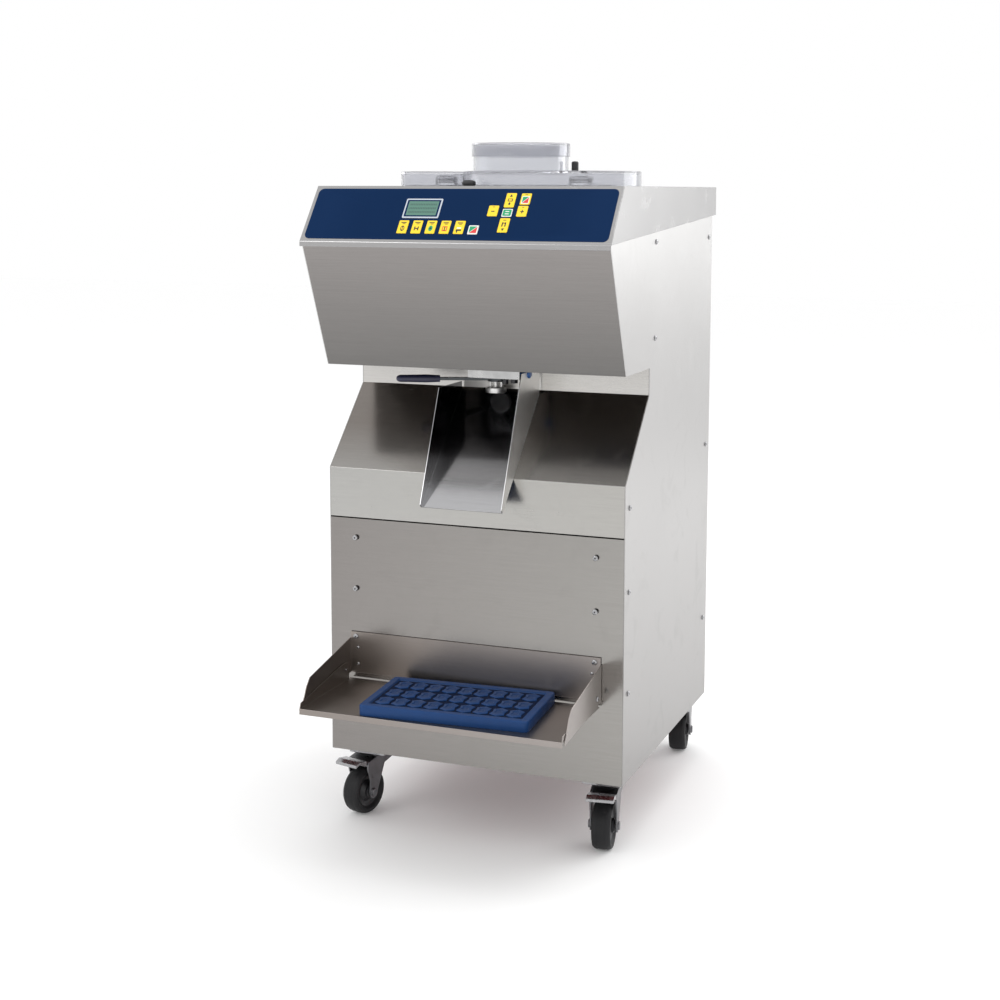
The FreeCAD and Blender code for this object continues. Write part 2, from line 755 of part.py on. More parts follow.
def gate_lever():
    """Gate plate, hub and arm in one piece, turning on the clamp knob's stem under the outlet block."""
    top = block_foot - lid_clearance
    hub = cylinder(LEVER_HUB, top - (lever_level - 4), 0, 0, lever_level - 4)
    reach_x, reach_y = GATE_X, GATE_BORE_DEPTH - gate_depth.value
    gate = cylinder(GATE_DISC, GATE_WALL, reach_x, reach_y, top - GATE_WALL)
    web_angle = math.degrees(math.atan2(reach_y, reach_x))
    web = box(0, 0, 0, math.hypot(reach_x, reach_y), 2 * LEVER_HUB * 0.8, GATE_WALL)
    across = math.radians(web_angle + 90)
    shift = LEVER_HUB * 0.8
    web.Placement = FreeCAD.Placement(Vector(), FreeCAD.Rotation(Z_AXIS, web_angle))
    place(web, -shift * math.cos(across), -shift * math.sin(across), top - GATE_WALL)
    arm = box(0, 0, 0, LEVER_REACH, ARM_WIDTH, ARM_WALL)
    direction = math.radians(lever_angle.value)
    arm.Placement = FreeCAD.Placement(Vector(), FreeCAD.Rotation(Z_AXIS, lever_angle.value))
    half = ARM_WIDTH / 2
    place(arm, half * math.sin(direction), -half * math.cos(direction), lever_level - ARM_WALL / 2)
    bore = cylinder(KNOB_STEM + running_gap, 40, 0, 0, lever_level - 20)
    made = cut(fuse(hub, gate, web, arm), bore)
    place(made, 0, at(gate_depth), 0)
    return keep(made, "gate_lever")


def lever_grip():
    """Moulded handle pushed over the end of the lever's arm."""
    made = body("grip_form")
    outline = [
        (0, 0),
        (GRIP_RADIUS - 2, 0),
        (GRIP_RADIUS - 0.6, 3),
        (GRIP_RADIUS, 10),
        (GRIP_RADIUS, GRIP_LENGTH - 6),
        (GRIP_RADIUS - 1.6, GRIP_LENGTH - 1.5),
        (0, GRIP_LENGTH),
    ]
    revolve(made, outline)
    place(made, GRIP_START, 0, 0, Y_AXIS, 90)
    sleeve = ARM_WIDTH / 2
    socket = box(0, -sleeve, -ARM_WALL / 2, LEVER_REACH, ARM_WIDTH, ARM_WALL)
    grip = cut(made, socket)
    grip.Placement = FreeCAD.Placement(Vector(), FreeCAD.Rotation(Z_AXIS, lever_angle.value))
    place(grip, 0, at(gate_depth), lever_level)
    return keep(grip, "lever_grip")


def clamp_knob():
    """Round thumb nut with its two posts, on the stem that carries the gate lever."""
    foot = KNOB_LEVEL
    disc = cylinder(KNOB_RADIUS, KNOB_WALL, 0, 0, foot)
    post_height = lever_level - 4 - lid_clearance - (foot + KNOB_WALL)
    posts = [cylinder(3, post_height, side * 10, 0, foot + KNOB_WALL) for side in (-1, 1)]
    stem = cylinder(KNOB_STEM, block_foot + 10 - foot, 0, 0, foot)
    made = fuse(disc, stem, *posts)
    place(made, 0, at(gate_depth), 0)
    return keep(made, "clamp_knob")


# --- Lids ---------------------------------------------------------------------------------------------


def lid_shell(radius, x, depth):
    """A shallow round lid, open underneath."""
    foot = worktop + lid_clearance
    shell = cylinder(radius, lid_height, x, at(depth), foot)
    hollow = cylinder(radius - lid_wall, lid_height - lid_wall, x, at(depth), foot)
    return cut(shell, hollow)


def lid_ear(x, start, pin_y):
    """Tongue at the back of a lid, bored for the hinge pin."""
    tongue = box(x - EAR_HALF, start, hinge_level - EAR_RISE, 2 * EAR_HALF, pin_y - start, 2 * EAR_RISE)
    eye = cylinder(EAR_RISE, 2 * EAR_HALF, x - EAR_HALF, pin_y, hinge_level, Y_AXIS, 90)
    bore_length = 2 * EAR_HALF + 2
    radius = pin_radius + running_gap
    bore = cylinder(radius, bore_length, x - EAR_HALF - 1, pin_y, hinge_level, Y_AXIS, 90)
    return tongue, eye, bore


def large_lid_pin():
    return at(cylinder_depth + large_lid_radius + PIN_BEHIND)


def small_lid_pin():
    return at(tank_depth + small_lid_radius + PIN_BEHIND)


def large_lid():
    start = at(cylinder_depth + large_lid_radius - 2)
    tongue, eye, bore = lid_ear(cylinder_x, start, large_lid_pin())
    shell = lid_shell(large_lid_radius, cylinder_x, cylinder_depth)
    top = worktop + lid_clearance + lid_height
    tube = cylinder(chimney_radius, chimney_top - top, 0, at(cylinder_depth), top)
    way_in = cylinder(
        chimney_radius - lid_wall, chimney_top - worktop, 0, at(cylinder_depth), worktop + lid_wall
    )
    plug_hole = cylinder(PLUG_STEM, 2 * lid_wall, PLUG_X, at(cylinder_depth), top - 1.5 * lid_wall)
    made = cut(fuse(shell, tube, tongue, eye), way_in, plug_hole, bore)
    return keep(made, "large_lid")


def small_lid():
    start = at(tank_depth + small_lid_radius - 2)
    tongue, eye, bore = lid_ear(tank_x, start, small_lid_pin())
    shell = lid_shell(small_lid_radius, tank_x, tank_depth)
    return keep(cut(fuse(shell, tongue, eye), bore), "small_lid")


def filling_cap():
    """Clear cap that lifts off the chimney."""
    made = body("filling_cap")
    inner = chimney_radius + lid_clearance
    outline = [
        (0, cap_top - CAP_WALL),
        (inner, cap_top - CAP_WALL),
        (inner, cap_top - cap_skirt),
        (cap_radius, cap_top - cap_skirt),
        (cap_radius, cap_top),
        (0, cap_top),
    ]
    revolve(made, outline)
    place(made, 0, at(cylinder_depth), 0)
    return keep(made)


def lid_plug():
    """Small black plug in the large lid's ingredient hole."""
    made = body("lid_plug")
    top = worktop + lid_clearance + lid_height
    outline = [
        (0, top - lid_wall),
        (PLUG_STEM, top - lid_wall),
        (PLUG_STEM, top),
        (PLUG_RADIUS, top),
        (PLUG_RADIUS, top + 15),
        (PLUG_RADIUS - 1.5, top + 17),
        (0, top + 17.5),
    ]
    revolve(made, outline)
    place(made, PLUG_X, at(cylinder_depth), 0)
    return keep(made)


def latch_knob():
    """Low black turn knob on the worktop, ahead of the large lid."""
    made = body("latch_knob")
    foot = worktop + lid_clearance
    outline = [
        (0, foot - 12),
        (LATCH_STEM, foot - 12),
        (LATCH_STEM, foot),
        (LATCH_RADIUS - 2, foot),
        (LATCH_RADIUS, foot + 3),
        (LATCH_RADIUS, foot + 6),
        (LATCH_RADIUS - 2.5, foot + 9),
        (0, foot + 10),
    ]
    revolve(made, outline)
    grip = rectangle(-LATCH_RADIUS, 2.5, LATCH_RADIUS, LATCH_RADIUS)
    other = rectangle(-LATCH_RADIUS, -LATCH_RADIUS, LATCH_RADIUS, -2.5)
    pocket(made, "XY_Plane", foot + 7, 6, [grip, other])
    place(made, LATCH_X, at(LATCH_DEPTH), 0)
    return keep(made)


def lid_hinges():
    """Two lugs and a pin for each lid, screwed to the worktop."""
    pieces = []
    for x, pin_y in ((cylinder_x, large_lid_pin()), (tank_x, small_lid_pin())):
        inner = EAR_HALF + lid_clearance
        for left in (x - inner - LUG_WALL, x + inner):
            low = worktop
            stand = box(left, pin_y - EAR_RISE, low, LUG_WALL, 2 * EAR_RISE, hinge_level - low)
            eye = cylinder(EAR_RISE, LUG_WALL, left, pin_y, hinge_level, Y_AXIS, 90)
            pieces += [stand, eye]
        length = 2 * (inner + LUG_WALL)
        pieces.append(cylinder(pin_radius, length, x - length / 2, pin_y, hinge_level, Y_AXIS, 90))
    return keep(fuse(*pieces), "lid_hinges")


# --- Inside -------------------------------------------------------------------------------------------


def vessel(label, radius, wall_size, foot, x, depth, flange):
    """Round steel vessel with a flat bottom and a rim that lies on the worktop."""
    made = body(label)
    rim_top = worktop + RIM_WALL
    outline = [
        (0, foot),
        (radius, foot),
        (radius, worktop),
        (flange, worktop),
        (flange, rim_top),
        (radius - wall_size, rim_top),
        (radius - wall_size, foot + VESSEL_BOTTOM),
        (0, foot + VESSEL_BOTTOM),
    ]
    revolve(made, outline)
    return place(made, x, at(depth), 0)


def freezing_cylinder():
    made = vessel(
        "cylinder_shell", cylinder_radius, 3, cylinder_foot, cylinder_x, cylinder_depth, cylinder_radius + 14
    )
    port = cylinder(PORT_BORE, 20, PORT_X, at(PORT_DEPTH), cylinder_foot - 5)
    shaft_hole = cylinder(SHAFT_RADIUS + running_gap, 20, cylinder_x, at(cylinder_depth), cylinder_foot - 5)
    return keep(cut(made, port, shaft_hole), "freezing_cylinder")


def mix_tank():
    return keep(vessel("mix_tank", tank_radius, 2, TANK_FOOT, tank_x, tank_depth, tank_radius + 8))


def evaporator_jacket():
    """Refrigerant jacket round the cylinder, ribbed where its tube is wound."""
    made = body("evaporator_jacket")
    inner = cylinder_radius + 0.2
    turn = (JACKET_TOP - JACKET_FOOT) / JACKET_TURNS
    outline = [(inner, JACKET_FOOT)]
    for number in range(JACKET_TURNS):
        low = JACKET_FOOT + number * turn
        outline += [(inner + 9, low), (inner + 12, low + turn * 0.3), (inner + 12, low + turn * 0.7)]
    outline += [(inner + 9, JACKET_TOP), (inner, JACKET_TOP)]
    revolve(made, outline)
    place(made, cylinder_x, at(cylinder_depth), 0)
    return keep(made)


def dasher():
    """Beater: a hub with two cross bars that carry an upright paddle at each end."""
    low, high = cylinder_foot + 14, DASHER_TOP
    hub = cylinder(DASHER_HUB, high - low, 0, 0, low)
    pieces = [hub]
    for level in (low, high - BAR_SIZE):
        pieces.append(box(-PADDLE_REACH, -BAR_SIZE / 2, level, 2 * PADDLE_REACH, BAR_SIZE, BAR_SIZE))
    for left in (-PADDLE_REACH, PADDLE_REACH - PADDLE_WALL):
        pieces.append(box(left, -PADDLE_WIDTH / 2, low, PADDLE_WALL, PADDLE_WIDTH, high - low))
    made = fuse(*pieces)
    place(made, cylinder_x, at(cylinder_depth), 0)
    return keep(made, "dasher")


def scraper_blades():
    """Plastic blades on the paddles, which wipe the cylinder's wall."""
    low, high = cylinder_foot + 20, DASHER_TOP - 6
    blades = []
    for left in (-PADDLE_REACH - BLADE_REACH, PADDLE_REACH):
        blades.append(box(left, -BLADE_WALL / 2, low, BLADE_REACH, BLADE_WALL, high - low))
    made = group(*blades)
    place(made, cylinder_x, at(cylinder_depth), 0)
    return keep(made, "scraper_blades")


def drive_shaft():
    foot = GEAR_TOP
    shaft = cylinder(SHAFT_RADIUS, cylinder_foot + 14 - foot, 0, 0, foot)
    collar = cylinder(SHAFT_RADIUS + 5, 6, 0, 0, cylinder_foot + VESSEL_BOTTOM + 0.5)
    made = fuse(shaft, collar)
    place(made, cylinder_x, at(cylinder_depth), 0)
    return keep(made, "drive_shaft")


def gear_motor():
    """Motor standing on the deck, with the reduction gear on top of it."""
    flange = box(-GEAR_HALF, -GEAR_HALF, DECK_LEVEL, 2 * GEAR_HALF, 2 * GEAR_HALF, 8)
    motor = cylinder(MOTOR_RADIUS, MOTOR_TOP - DECK_LEVEL, 0, 0, DECK_LEVEL)
    gear = cylinder(GEAR_RADIUS, GEAR_TOP - MOTOR_TOP - 6, 0, 0, MOTOR_TOP)
    neck = cone(GEAR_RADIUS, SHAFT_RADIUS + 8, 5.7, 0, 0, GEAR_TOP - 6)
    made = fuse(flange, motor, gear, neck)
    place(made, cylinder_x, at(cylinder_depth), 0)
    return keep(made, "gear_motor")


def compressor():
    made = body("compressor")
    foot = body_foot + PAN_WALL
    outline = [
        (0, foot),
        (COMPRESSOR_RADIUS + 12, foot),
        (COMPRESSOR_RADIUS + 12, foot + 4),
        (COMPRESSOR_RADIUS, foot + 10),
        (COMPRESSOR_RADIUS, COMPRESSOR_TOP - 45),
        (COMPRESSOR_RADIUS * 0.86, COMPRESSOR_TOP - 18),
        (COMPRESSOR_RADIUS * 0.5, COMPRESSOR_TOP - 4),
        (0, COMPRESSOR_TOP),
    ]
    revolve(made, outline)
    place(made, COMPRESSOR_X, at(COMPRESSOR_DEPTH), 0)
    return keep(made)


def condenser():
    """Finned block behind the rear air slots, with the fan's motor on its front."""
    foot = body_foot + PAN_WALL
    block = box(-CONDENSER_HALF, at(CONDENSER_DEPTH), foot, 2 * CONDENSER_HALF, 45, CONDENSER_HEIGHT)
    grooves = []
    for number in range(9):
        left = -CONDENSER_HALF + 30 + number * (2 * CONDENSER_HALF - 60) / 8
        grooves.append(box(left - 3, at(CONDENSER_DEPTH - 1), foot + 15, 6, 12, CONDENSER_HEIGHT - 30))
    length = CONDENSER_DEPTH - FAN_DEPTH - 0.5
    motor = cylinder(FAN_HUB - 6, length, FAN_X, at(CONDENSER_DEPTH), FAN_LEVEL, X_AXIS, 90)
    return keep(fuse(cut(block, *grooves), motor), "condenser")


def condenser_fan():
    """Fan rotor that draws air through the condenser."""
    made = body("condenser_fan")
    pad(made, "XZ_Plane", 0, FAN_HUB_LENGTH, circles=[(0, 0, FAN_HUB)])
    blade = [(-8, FAN_HUB - 4), (8, FAN_HUB - 4), (38, FAN_RADIUS - 12), (0, FAN_RADIUS), (-30, FAN_RADIUS - 8)]
    vane = pad(made, "XZ_Plane", FAN_HUB_LENGTH / 2 - 2, 4, blade)
    vanes = made.newObject("PartDesign::PolarPattern", "Vanes")
    vanes.Originals = [vane]
    vanes.Axis = (vane.Profile[0], ["N_Axis"])
    vanes.Angle = 360
    vanes.Occurrences = FAN_VANES
    made.Tip = vanes
    place(made, FAN_X, at(FAN_DEPTH), FAN_LEVEL)
    return keep(made)


def electrical_box():
    shell = box(EBOX_LEFT, at(EBOX_DEPTH), EBOX_FOOT, EBOX_WIDTH, 60, EBOX_HEIGHT)
    lid = box(EBOX_LEFT - 4, at(EBOX_DEPTH - 3), EBOX_FOOT - 4, EBOX_WIDTH + 8, 3, EBOX_HEIGHT + 8)
    return keep(fuse(shell, lid), "electrical_box")


# --- Castors, each in its own frame: pivot upright at the origin, wheel trailing towards -Y ------------

# name: side, depth of the pivot, swivel angle in degrees
CASTORS = {
    "front_left": (-1, castor_front, -14),
    "front_right": (1, castor_front, 8),
    "rear_left": (-1, castor_rear, 166),
    "rear_right": (1, castor_rear, 188),
}
BRAKED = ("front_left", "front_right")


def on_castor(thing, name):
    side, depth, angle = CASTORS[name]
    thing.Placement = FreeCAD.Placement(Vector(), FreeCAD.Rotation(Z_AXIS, angle))
    return place(thing, side * castor_x, at(depth), 0)


def castor_plates():
    """Four top plates, each with its raceway dish and the kingpin that holds the fork."""
    plates = []
    for side, depth, angle in CASTORS.values():
        x, y = side * castor_x, at(depth)
        low = castor_height - PLATE_WALL
        plate = box(x - PLATE_X / 2, y - PLATE_Y / 2, low, PLATE_X, PLATE_Y, PLATE_WALL)
        dish = cylinder(DISH_RADIUS, low - DISH_FOOT, x, y, DISH_FOOT)
        pin = cylinder(KINGPIN, DISH_FOOT - NUT_TOP + 1, x, y, NUT_TOP - 1)
        nut = cylinder(KINGPIN + 3, 5, x, y, NUT_TOP - 5)
        plates.append(fuse(plate, dish, pin, nut))
    return keep(group(*plates), "castor_plates")


def castor_fork(name):
    """Pressed fork with its riveted axle, and on the braked castors the pedal's pin."""
    made = body("fork_form_" + name)
    crown_top = DISH_FOOT - lid_clearance
    axle_y = -castor_trail
    outline = [
        (20, crown_top),
        (-30, crown_top),
        (-52, 96),
        (-53, 82),
        (axle_y - 9, 62),
        (axle_y - 11, wheel_radius),
        (axle_y - 7, wheel_radius - 9),
        (axle_y, wheel_radius - 12),
        (axle_y + 7, wheel_radius - 9),
        (axle_y + 11, wheel_radius),
        (-8, 84),
        (20, 92),
    ]
    pad(made, "YZ_Plane", -FORK_HALF, 2 * FORK_HALF, outline)
    gap = rectangle(-80, 0, 80, crown_top - CROWN_WALL)
    pocket(made, "YZ_Plane", FORK_WALL - FORK_HALF, 2 * (FORK_HALF - FORK_WALL), [gap])
    pocket(made, "XY_Plane", crown_top - CROWN_WALL, CROWN_WALL, circles=[(0, 0, KINGPIN + running_gap)])
    length = 2 * FORK_HALF + 6
    pieces = [made, cylinder(AXLE, length, -length / 2, axle_y, wheel_radius, Y_AXIS, 90)]
    for left in (-length / 2, length / 2 - 3):
        pieces.append(cylinder(AXLE + 3, 3, left, axle_y, wheel_radius, Y_AXIS, 90))
    if name in BRAKED:
        pieces.append(cylinder(PEDAL_PIN, 2 * FORK_HALF, -FORK_HALF, PEDAL_Y, PEDAL_Z, Y_AXIS, 90))
    fork = fuse(*pieces)
    on_castor(fork, name)
    return keep(fork, "fork_" + name)


def castor_wheel(name):
    """Rubber-tyred wheel: outline given as width and radius, turned about the axle."""
    made = body("wheel_" + name)
    bore = AXLE + running_gap
    outline = [
        (-HUB_HALF, bore),
        (HUB_HALF, bore),
        (HUB_HALF, HUB_RADIUS),
        (WEB_HALF, HUB_RADIUS + 2),
        (WEB_HALF, wheel_radius - 12),
        (wheel_half - 1, wheel_radius - 9),
        (wheel_half, wheel_radius - 6),
        (wheel_half - 1.5, wheel_radius - 2),
        (wheel_half - 5, wheel_radius),
        (5 - wheel_half, wheel_radius),
        (1.5 - wheel_half, wheel_radius - 2),
        (-wheel_half, wheel_radius - 6),
        (1 - wheel_half, wheel_radius - 9),
        (-WEB_HALF, wheel_radius - 12),
        (-WEB_HALF, HUB_RADIUS + 2),
        (-HUB_HALF, HUB_RADIUS),
    ]
    revolve(made, outline, "XY_Plane", "H_Axis")
    side, depth, angle = CASTORS[name]
    turn = math.radians(angle)
    made.Placement = FreeCAD.Placement(Vector(), FreeCAD.Rotation(Z_AXIS, angle))
    shift_x = castor_trail * math.sin(turn)
    shift_y = castor_trail * -math.cos(turn)
    place(made, side * castor_x + shift_x, at(depth) + shift_y, wheel_radius)
    return keep(made)


def brake_pedal(name):
    """Foot pedal that turns on a pin between the fork's ears."""
    hub = cylinder(PEDAL_HUB, 2 * PEDAL_HUB_HALF, -PEDAL_HUB_HALF, PEDAL_Y, PEDAL_Z, Y_AXIS, 90)
    neck_length = 14
    neck = box(-PEDAL_HUB_HALF, PEDAL_Y - neck_length, PEDAL_Z, 2 * PEDAL_HUB_HALF, neck_length, 4)
    plate = body("pedal_plate")
    outline = [
        (PEDAL_Y - 12, PEDAL_Z),
        (PEDAL_Y - 12, PEDAL_Z + 10),
        (PEDAL_Y - 31, PEDAL_Z + 13),
        (PEDAL_Y - 40, PEDAL_Z + 9),
        (PEDAL_Y - 40, PEDAL_Z + 4),
        (PEDAL_Y - 30, PEDAL_Z + 8),
    ]
    pad(plate, "YZ_Plane", -PEDAL_HALF, 2 * PEDAL_HALF, outline)
    bore_radius = PEDAL_PIN + running_gap
    bore = cylinder(bore_radius, 2 * FORK_HALF, -FORK_HALF, PEDAL_Y, PEDAL_Z, Y_AXIS, 90)
    pedal = cut(fuse(hub, neck, plate), bore)
    on_castor(pedal, name)
    return keep(pedal, "brake_pedal_" + name)


# --- Fixed sizes of single pieces ---------------------------------------------------------------------

OUTLET_LEFT, OUTLET_RIGHT = -30, 62
OUTLET_FRONT, OUTLET_REAR = 52, 126
GATE_X, GATE_BORE_DEPTH, GATE_BORE = 15, 79, 12
GATE_DISC, GATE_WALL = 17, 4
PORT_X, PORT_DEPTH, PORT_BORE = 40, 116, 9
LEVER_HUB, LEVER_REACH, ARM_WIDTH, ARM_WALL = 14, 160, 9, 5
GRIP_RADIUS, GRIP_START, GRIP_LENGTH = 7, 94, 74
KNOB_LEVEL, KNOB_RADIUS, KNOB_WALL, KNOB_STEM = 739, 17.5, 9, 5
CHUTE_NOSE_LEAD, CHUTE_NOSE_LEVEL, CHEEK_SHOULDER, CHUTE_REAR = 53.5, 570.5, 25, 19

GLAND_X, GLAND_LEVEL, GLAND_RADIUS, GLAND_BORE = -190, 190, 10, 6
GLAND_FLANGE, GLAND_INSIDE, GLAND_LENGTH = 14, 8, 30
SLOT_HALF, SLOT_LEVEL, SLOT_HEIGHT, SLOT_PITCH, SLOT_COUNT = 155, 200, 3.5, 22, 14

RAIL_FRONT, RAIL_WIDTH, PAN_WALL = 45, 40, 3
POST_FRONT, POST_REAR, POST_SIZE, ANGLE_WALL, POST_TOP = 145, 508, 25, 3, 1060
DECK_LEVEL, DECK_WALL, BEAM_DEPTHS, BEAM_SIZE = 560, 4, (150, 290), 15

SHORT_SCREW, STUD_LENGTH, PIVOT_LENGTH = 8, 12, 5
SHELF_BACK_FOOT, SHELF_BACK_TOP = 262, 333
MAT_CORNER, MAT_RIM, MAT_FIELD_DROP = 8, 14, 2.5
MAT_X, MAT_LEAD, MAT_TURN = 14.6, 97, 3.5

PIN_BEHIND, EAR_HALF, EAR_RISE, LUG_WALL = 9, 16, 6, 6
PLUG_X, PLUG_RADIUS, PLUG_STEM, CAP_WALL = 98, 6, 4, 3
LATCH_X, LATCH_DEPTH, LATCH_RADIUS, LATCH_STEM = -38, 78, 11.5, 3
RIM_WALL, VESSEL_BOTTOM, TANK_FOOT = 2.5, 6, 900
JACKET_FOOT, JACKET_TOP, JACKET_TURNS = 812, 1040, 12
DASHER_TOP, DASHER_HUB, BAR_SIZE, SHAFT_RADIUS = 1040, 14, 12, 12
PADDLE_REACH, PADDLE_WALL, PADDLE_WIDTH, BLADE_REACH, BLADE_WALL = 108, 6, 26, 10, 4
GEAR_HALF, MOTOR_RADIUS, MOTOR_TOP, GEAR_RADIUS, GEAR_TOP = 72, 62, 690, 68, 784
COMPRESSOR_X, COMPRESSOR_DEPTH, COMPRESSOR_RADIUS, COMPRESSOR_TOP = -130, 290, 80, 370
CONDENSER_HALF, CONDENSER_DEPTH, CONDENSER_HEIGHT = 165, 485, 380
FAN_X, FAN_DEPTH, FAN_LEVEL, FAN_HUB, FAN_HUB_LENGTH = 20, 470, 330, 30, 26
FAN_RADIUS, FAN_VANES = 130, 5
EBOX_LEFT, EBOX_DEPTH, EBOX_FOOT, EBOX_WIDTH, EBOX_HEIGHT = -20, 20, 200, 230, 290

PLATE_X, PLATE_Y, PLATE_WALL, DISH_RADIUS, DISH_FOOT = 66, 84, 4, 28, 101
KINGPIN, NUT_TOP, CROWN_WALL = 6, 96.4, 4
FORK_HALF, FORK_WALL, AXLE = 23, 3, 4
HUB_HALF, HUB_RADIUS, WEB_HALF = 18.5, 12, 11
PEDAL_Y, PEDAL_Z, PEDAL_PIN, PEDAL_HUB, PEDAL_HUB_HALF, PEDAL_HALF = -45, 90, 2.5, 6, 19.2, 23


def build():
    base_frame()
    side_panel("side_panel_left", -half_width)
    side_panel("side_panel_right", half_width - wall)
    for make in (
        rear_panel,
        top_cover,
        head_front_panel,
        control_fascia,
        keypad_membrane,
        display_window,
        recess_panel,
        lower_front_panel,
        fasteners,
        shelf_bracket,
        shelf_tray,
        rubber_mat,
        discharge_chute,
        outlet_block,
        gate_lever,
        lever_grip,
        clamp_knob,
        large_lid,
        small_lid,
        filling_cap,
        lid_plug,
        latch_knob,
        lid_hinges,
        freezing_cylinder,
        mix_tank,
        evaporator_jacket,
        dasher,
        scraper_blades,
        drive_shaft,
        gear_motor,
        compressor,
        condenser,
        condenser_fan,
        electrical_box,
        castor_plates,
    ):
        make()
    for name in KEYS:
        key(name)
    for name in CASTORS:
        castor_fork(name)
        castor_wheel(name)
    for name in BRAKED:
        brake_pedal(name)


def check_and_write():
    """Stops on any failed object, then writes one STEP file for each sub-part."""
    document.recompute()
    for thing in document.Objects:
        if "Invalid" in thing.State or "Error" in thing.State:
            raise RuntimeError(f"{thing.Name} ({thing.Label}) failed: {thing.State}")
    for part in parts:
        if part.Shape.isNull() or not part.Shape.isValid():
            raise RuntimeError(f"{part.Label} has no valid shape")
    os.makedirs("parts", exist_ok=True)
    for part in parts:
        part.Shape.exportStep(f"parts/{part.Label}.step")
    print(len(parts), "sub-parts written")


build()
check_and_write()
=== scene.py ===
import json
import math

import bmesh
import bpy
from mathutils import Matrix, Vector


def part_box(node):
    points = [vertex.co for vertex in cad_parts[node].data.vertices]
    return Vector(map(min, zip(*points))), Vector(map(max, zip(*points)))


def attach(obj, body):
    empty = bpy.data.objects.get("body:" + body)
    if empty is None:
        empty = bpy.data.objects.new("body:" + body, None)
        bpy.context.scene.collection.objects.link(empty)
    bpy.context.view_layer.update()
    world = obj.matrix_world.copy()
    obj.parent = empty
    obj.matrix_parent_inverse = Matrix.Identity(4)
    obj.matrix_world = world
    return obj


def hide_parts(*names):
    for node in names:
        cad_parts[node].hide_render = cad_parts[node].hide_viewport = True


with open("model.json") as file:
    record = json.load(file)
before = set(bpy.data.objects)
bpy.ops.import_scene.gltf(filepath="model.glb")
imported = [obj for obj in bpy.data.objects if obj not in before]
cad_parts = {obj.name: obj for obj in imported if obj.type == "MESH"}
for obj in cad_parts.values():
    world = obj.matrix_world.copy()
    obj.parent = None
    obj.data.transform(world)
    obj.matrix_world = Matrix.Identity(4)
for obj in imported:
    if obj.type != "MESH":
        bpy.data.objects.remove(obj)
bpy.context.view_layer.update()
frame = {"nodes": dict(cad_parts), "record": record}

# The looks of a soft serve machine, built around its CAD frame in metres. Every piece rides on a body of
# the frame, and its place and size come from the CAD node that it stands for.

MM = 0.001

NODES = frame["nodes"]
JOINTS = {joint["name"]: joint for joint in frame["record"]["behaviour"]["joints"]}


def node_body(node):
    """Name of the body that a CAD node rides on."""
    for body, nodes in frame["record"]["behaviour"]["bodies"].items():
        if node in nodes:
            return body
    raise ValueError(node)


def middle(node):
    """Middle of a CAD node's box."""
    low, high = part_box(node)
    return (Vector(low) + Vector(high)) / 2


# --- Materials ----------------------------------------------------------------------------------------


class Shader:
    """A principled material with short ways to add procedural texture to it.

    Sockets are given by name, with underscores for spaces, and are set on the shader itself."""

    def __init__(self, name, **sockets):
        self.material = bpy.data.materials.new(name)
        self.material.use_nodes = True
        self.tree = self.material.node_tree
        self.principled = next(n for n in self.tree.nodes if n.type == "BSDF_PRINCIPLED")
        for label, value in sockets.items():
            self.principled.inputs[label.replace("_", " ")].default_value = value
        self.space = self.tree.nodes.new("ShaderNodeTexCoord")

    def node(self, kind, **inputs):
        """Adds a node; an input is either a value or another node's output."""
        made = self.tree.nodes.new("ShaderNode" + kind)
        for label, value in inputs.items():
            socket = made.inputs[label.replace("_", " ")]
            if isinstance(value, bpy.types.NodeSocket):
                self.tree.links.new(value, socket)
            else:
                socket.default_value = value
        return made

    def link(self, output, label):
        self.tree.links.new(output, self.principled.inputs[label])

    def noise(self, stretch, detail=4, distortion=0.0):
        """Noise in object space; stretch holds its frequency along X, Y and Z, per metre."""
        scaled = self.node("Mapping", Vector=self.space.outputs["Object"], Scale=stretch)
        made = self.node(
            "TexNoise", Vector=scaled.outputs["Vector"], Scale=1.0, Detail=detail, Distortion=distortion
        )
        return made.outputs["Fac"]

    def ramp(self, fac, low, high, start=0.3, stop=0.7):
        """Maps a 0 to 1 value onto low to high between start and stop."""
        made = self.node("MapRange", Value=fac, From_Min=start, From_Max=stop, To_Min=low, To_Max=high)
        return made.outputs["Result"]

    def tint(self, fac, first, second):
        """Colour that varies from first to second with a texture."""
        made = self.node("MixRGB", Fac=fac, Color1=(*first, 1), Color2=(*second, 1))
        return made.outputs["Color"]

    def combine(self, first, second, operation="ADD"):
        """Joins two values by a Math operation; the second may be a number."""
        made = self.node("Math")
        made.operation = operation
        self.tree.links.new(first, made.inputs[0])
        if isinstance(second, bpy.types.NodeSocket):
            self.tree.links.new(second, made.inputs[1])
        else:
            made.inputs[1].default_value = second
        return made.outputs["Value"]

    def bump(self, height, strength, distance=0.0002):
        made = self.node("Bump", Height=height, Strength=strength, Distance=distance)
        self.link(made.outputs["Normal"], "Normal")

    def pointiness(self):
        """Light on outer edges and dark in inner corners."""
        return self.tree.nodes.new("ShaderNodeNewGeometry").outputs["Pointiness"]


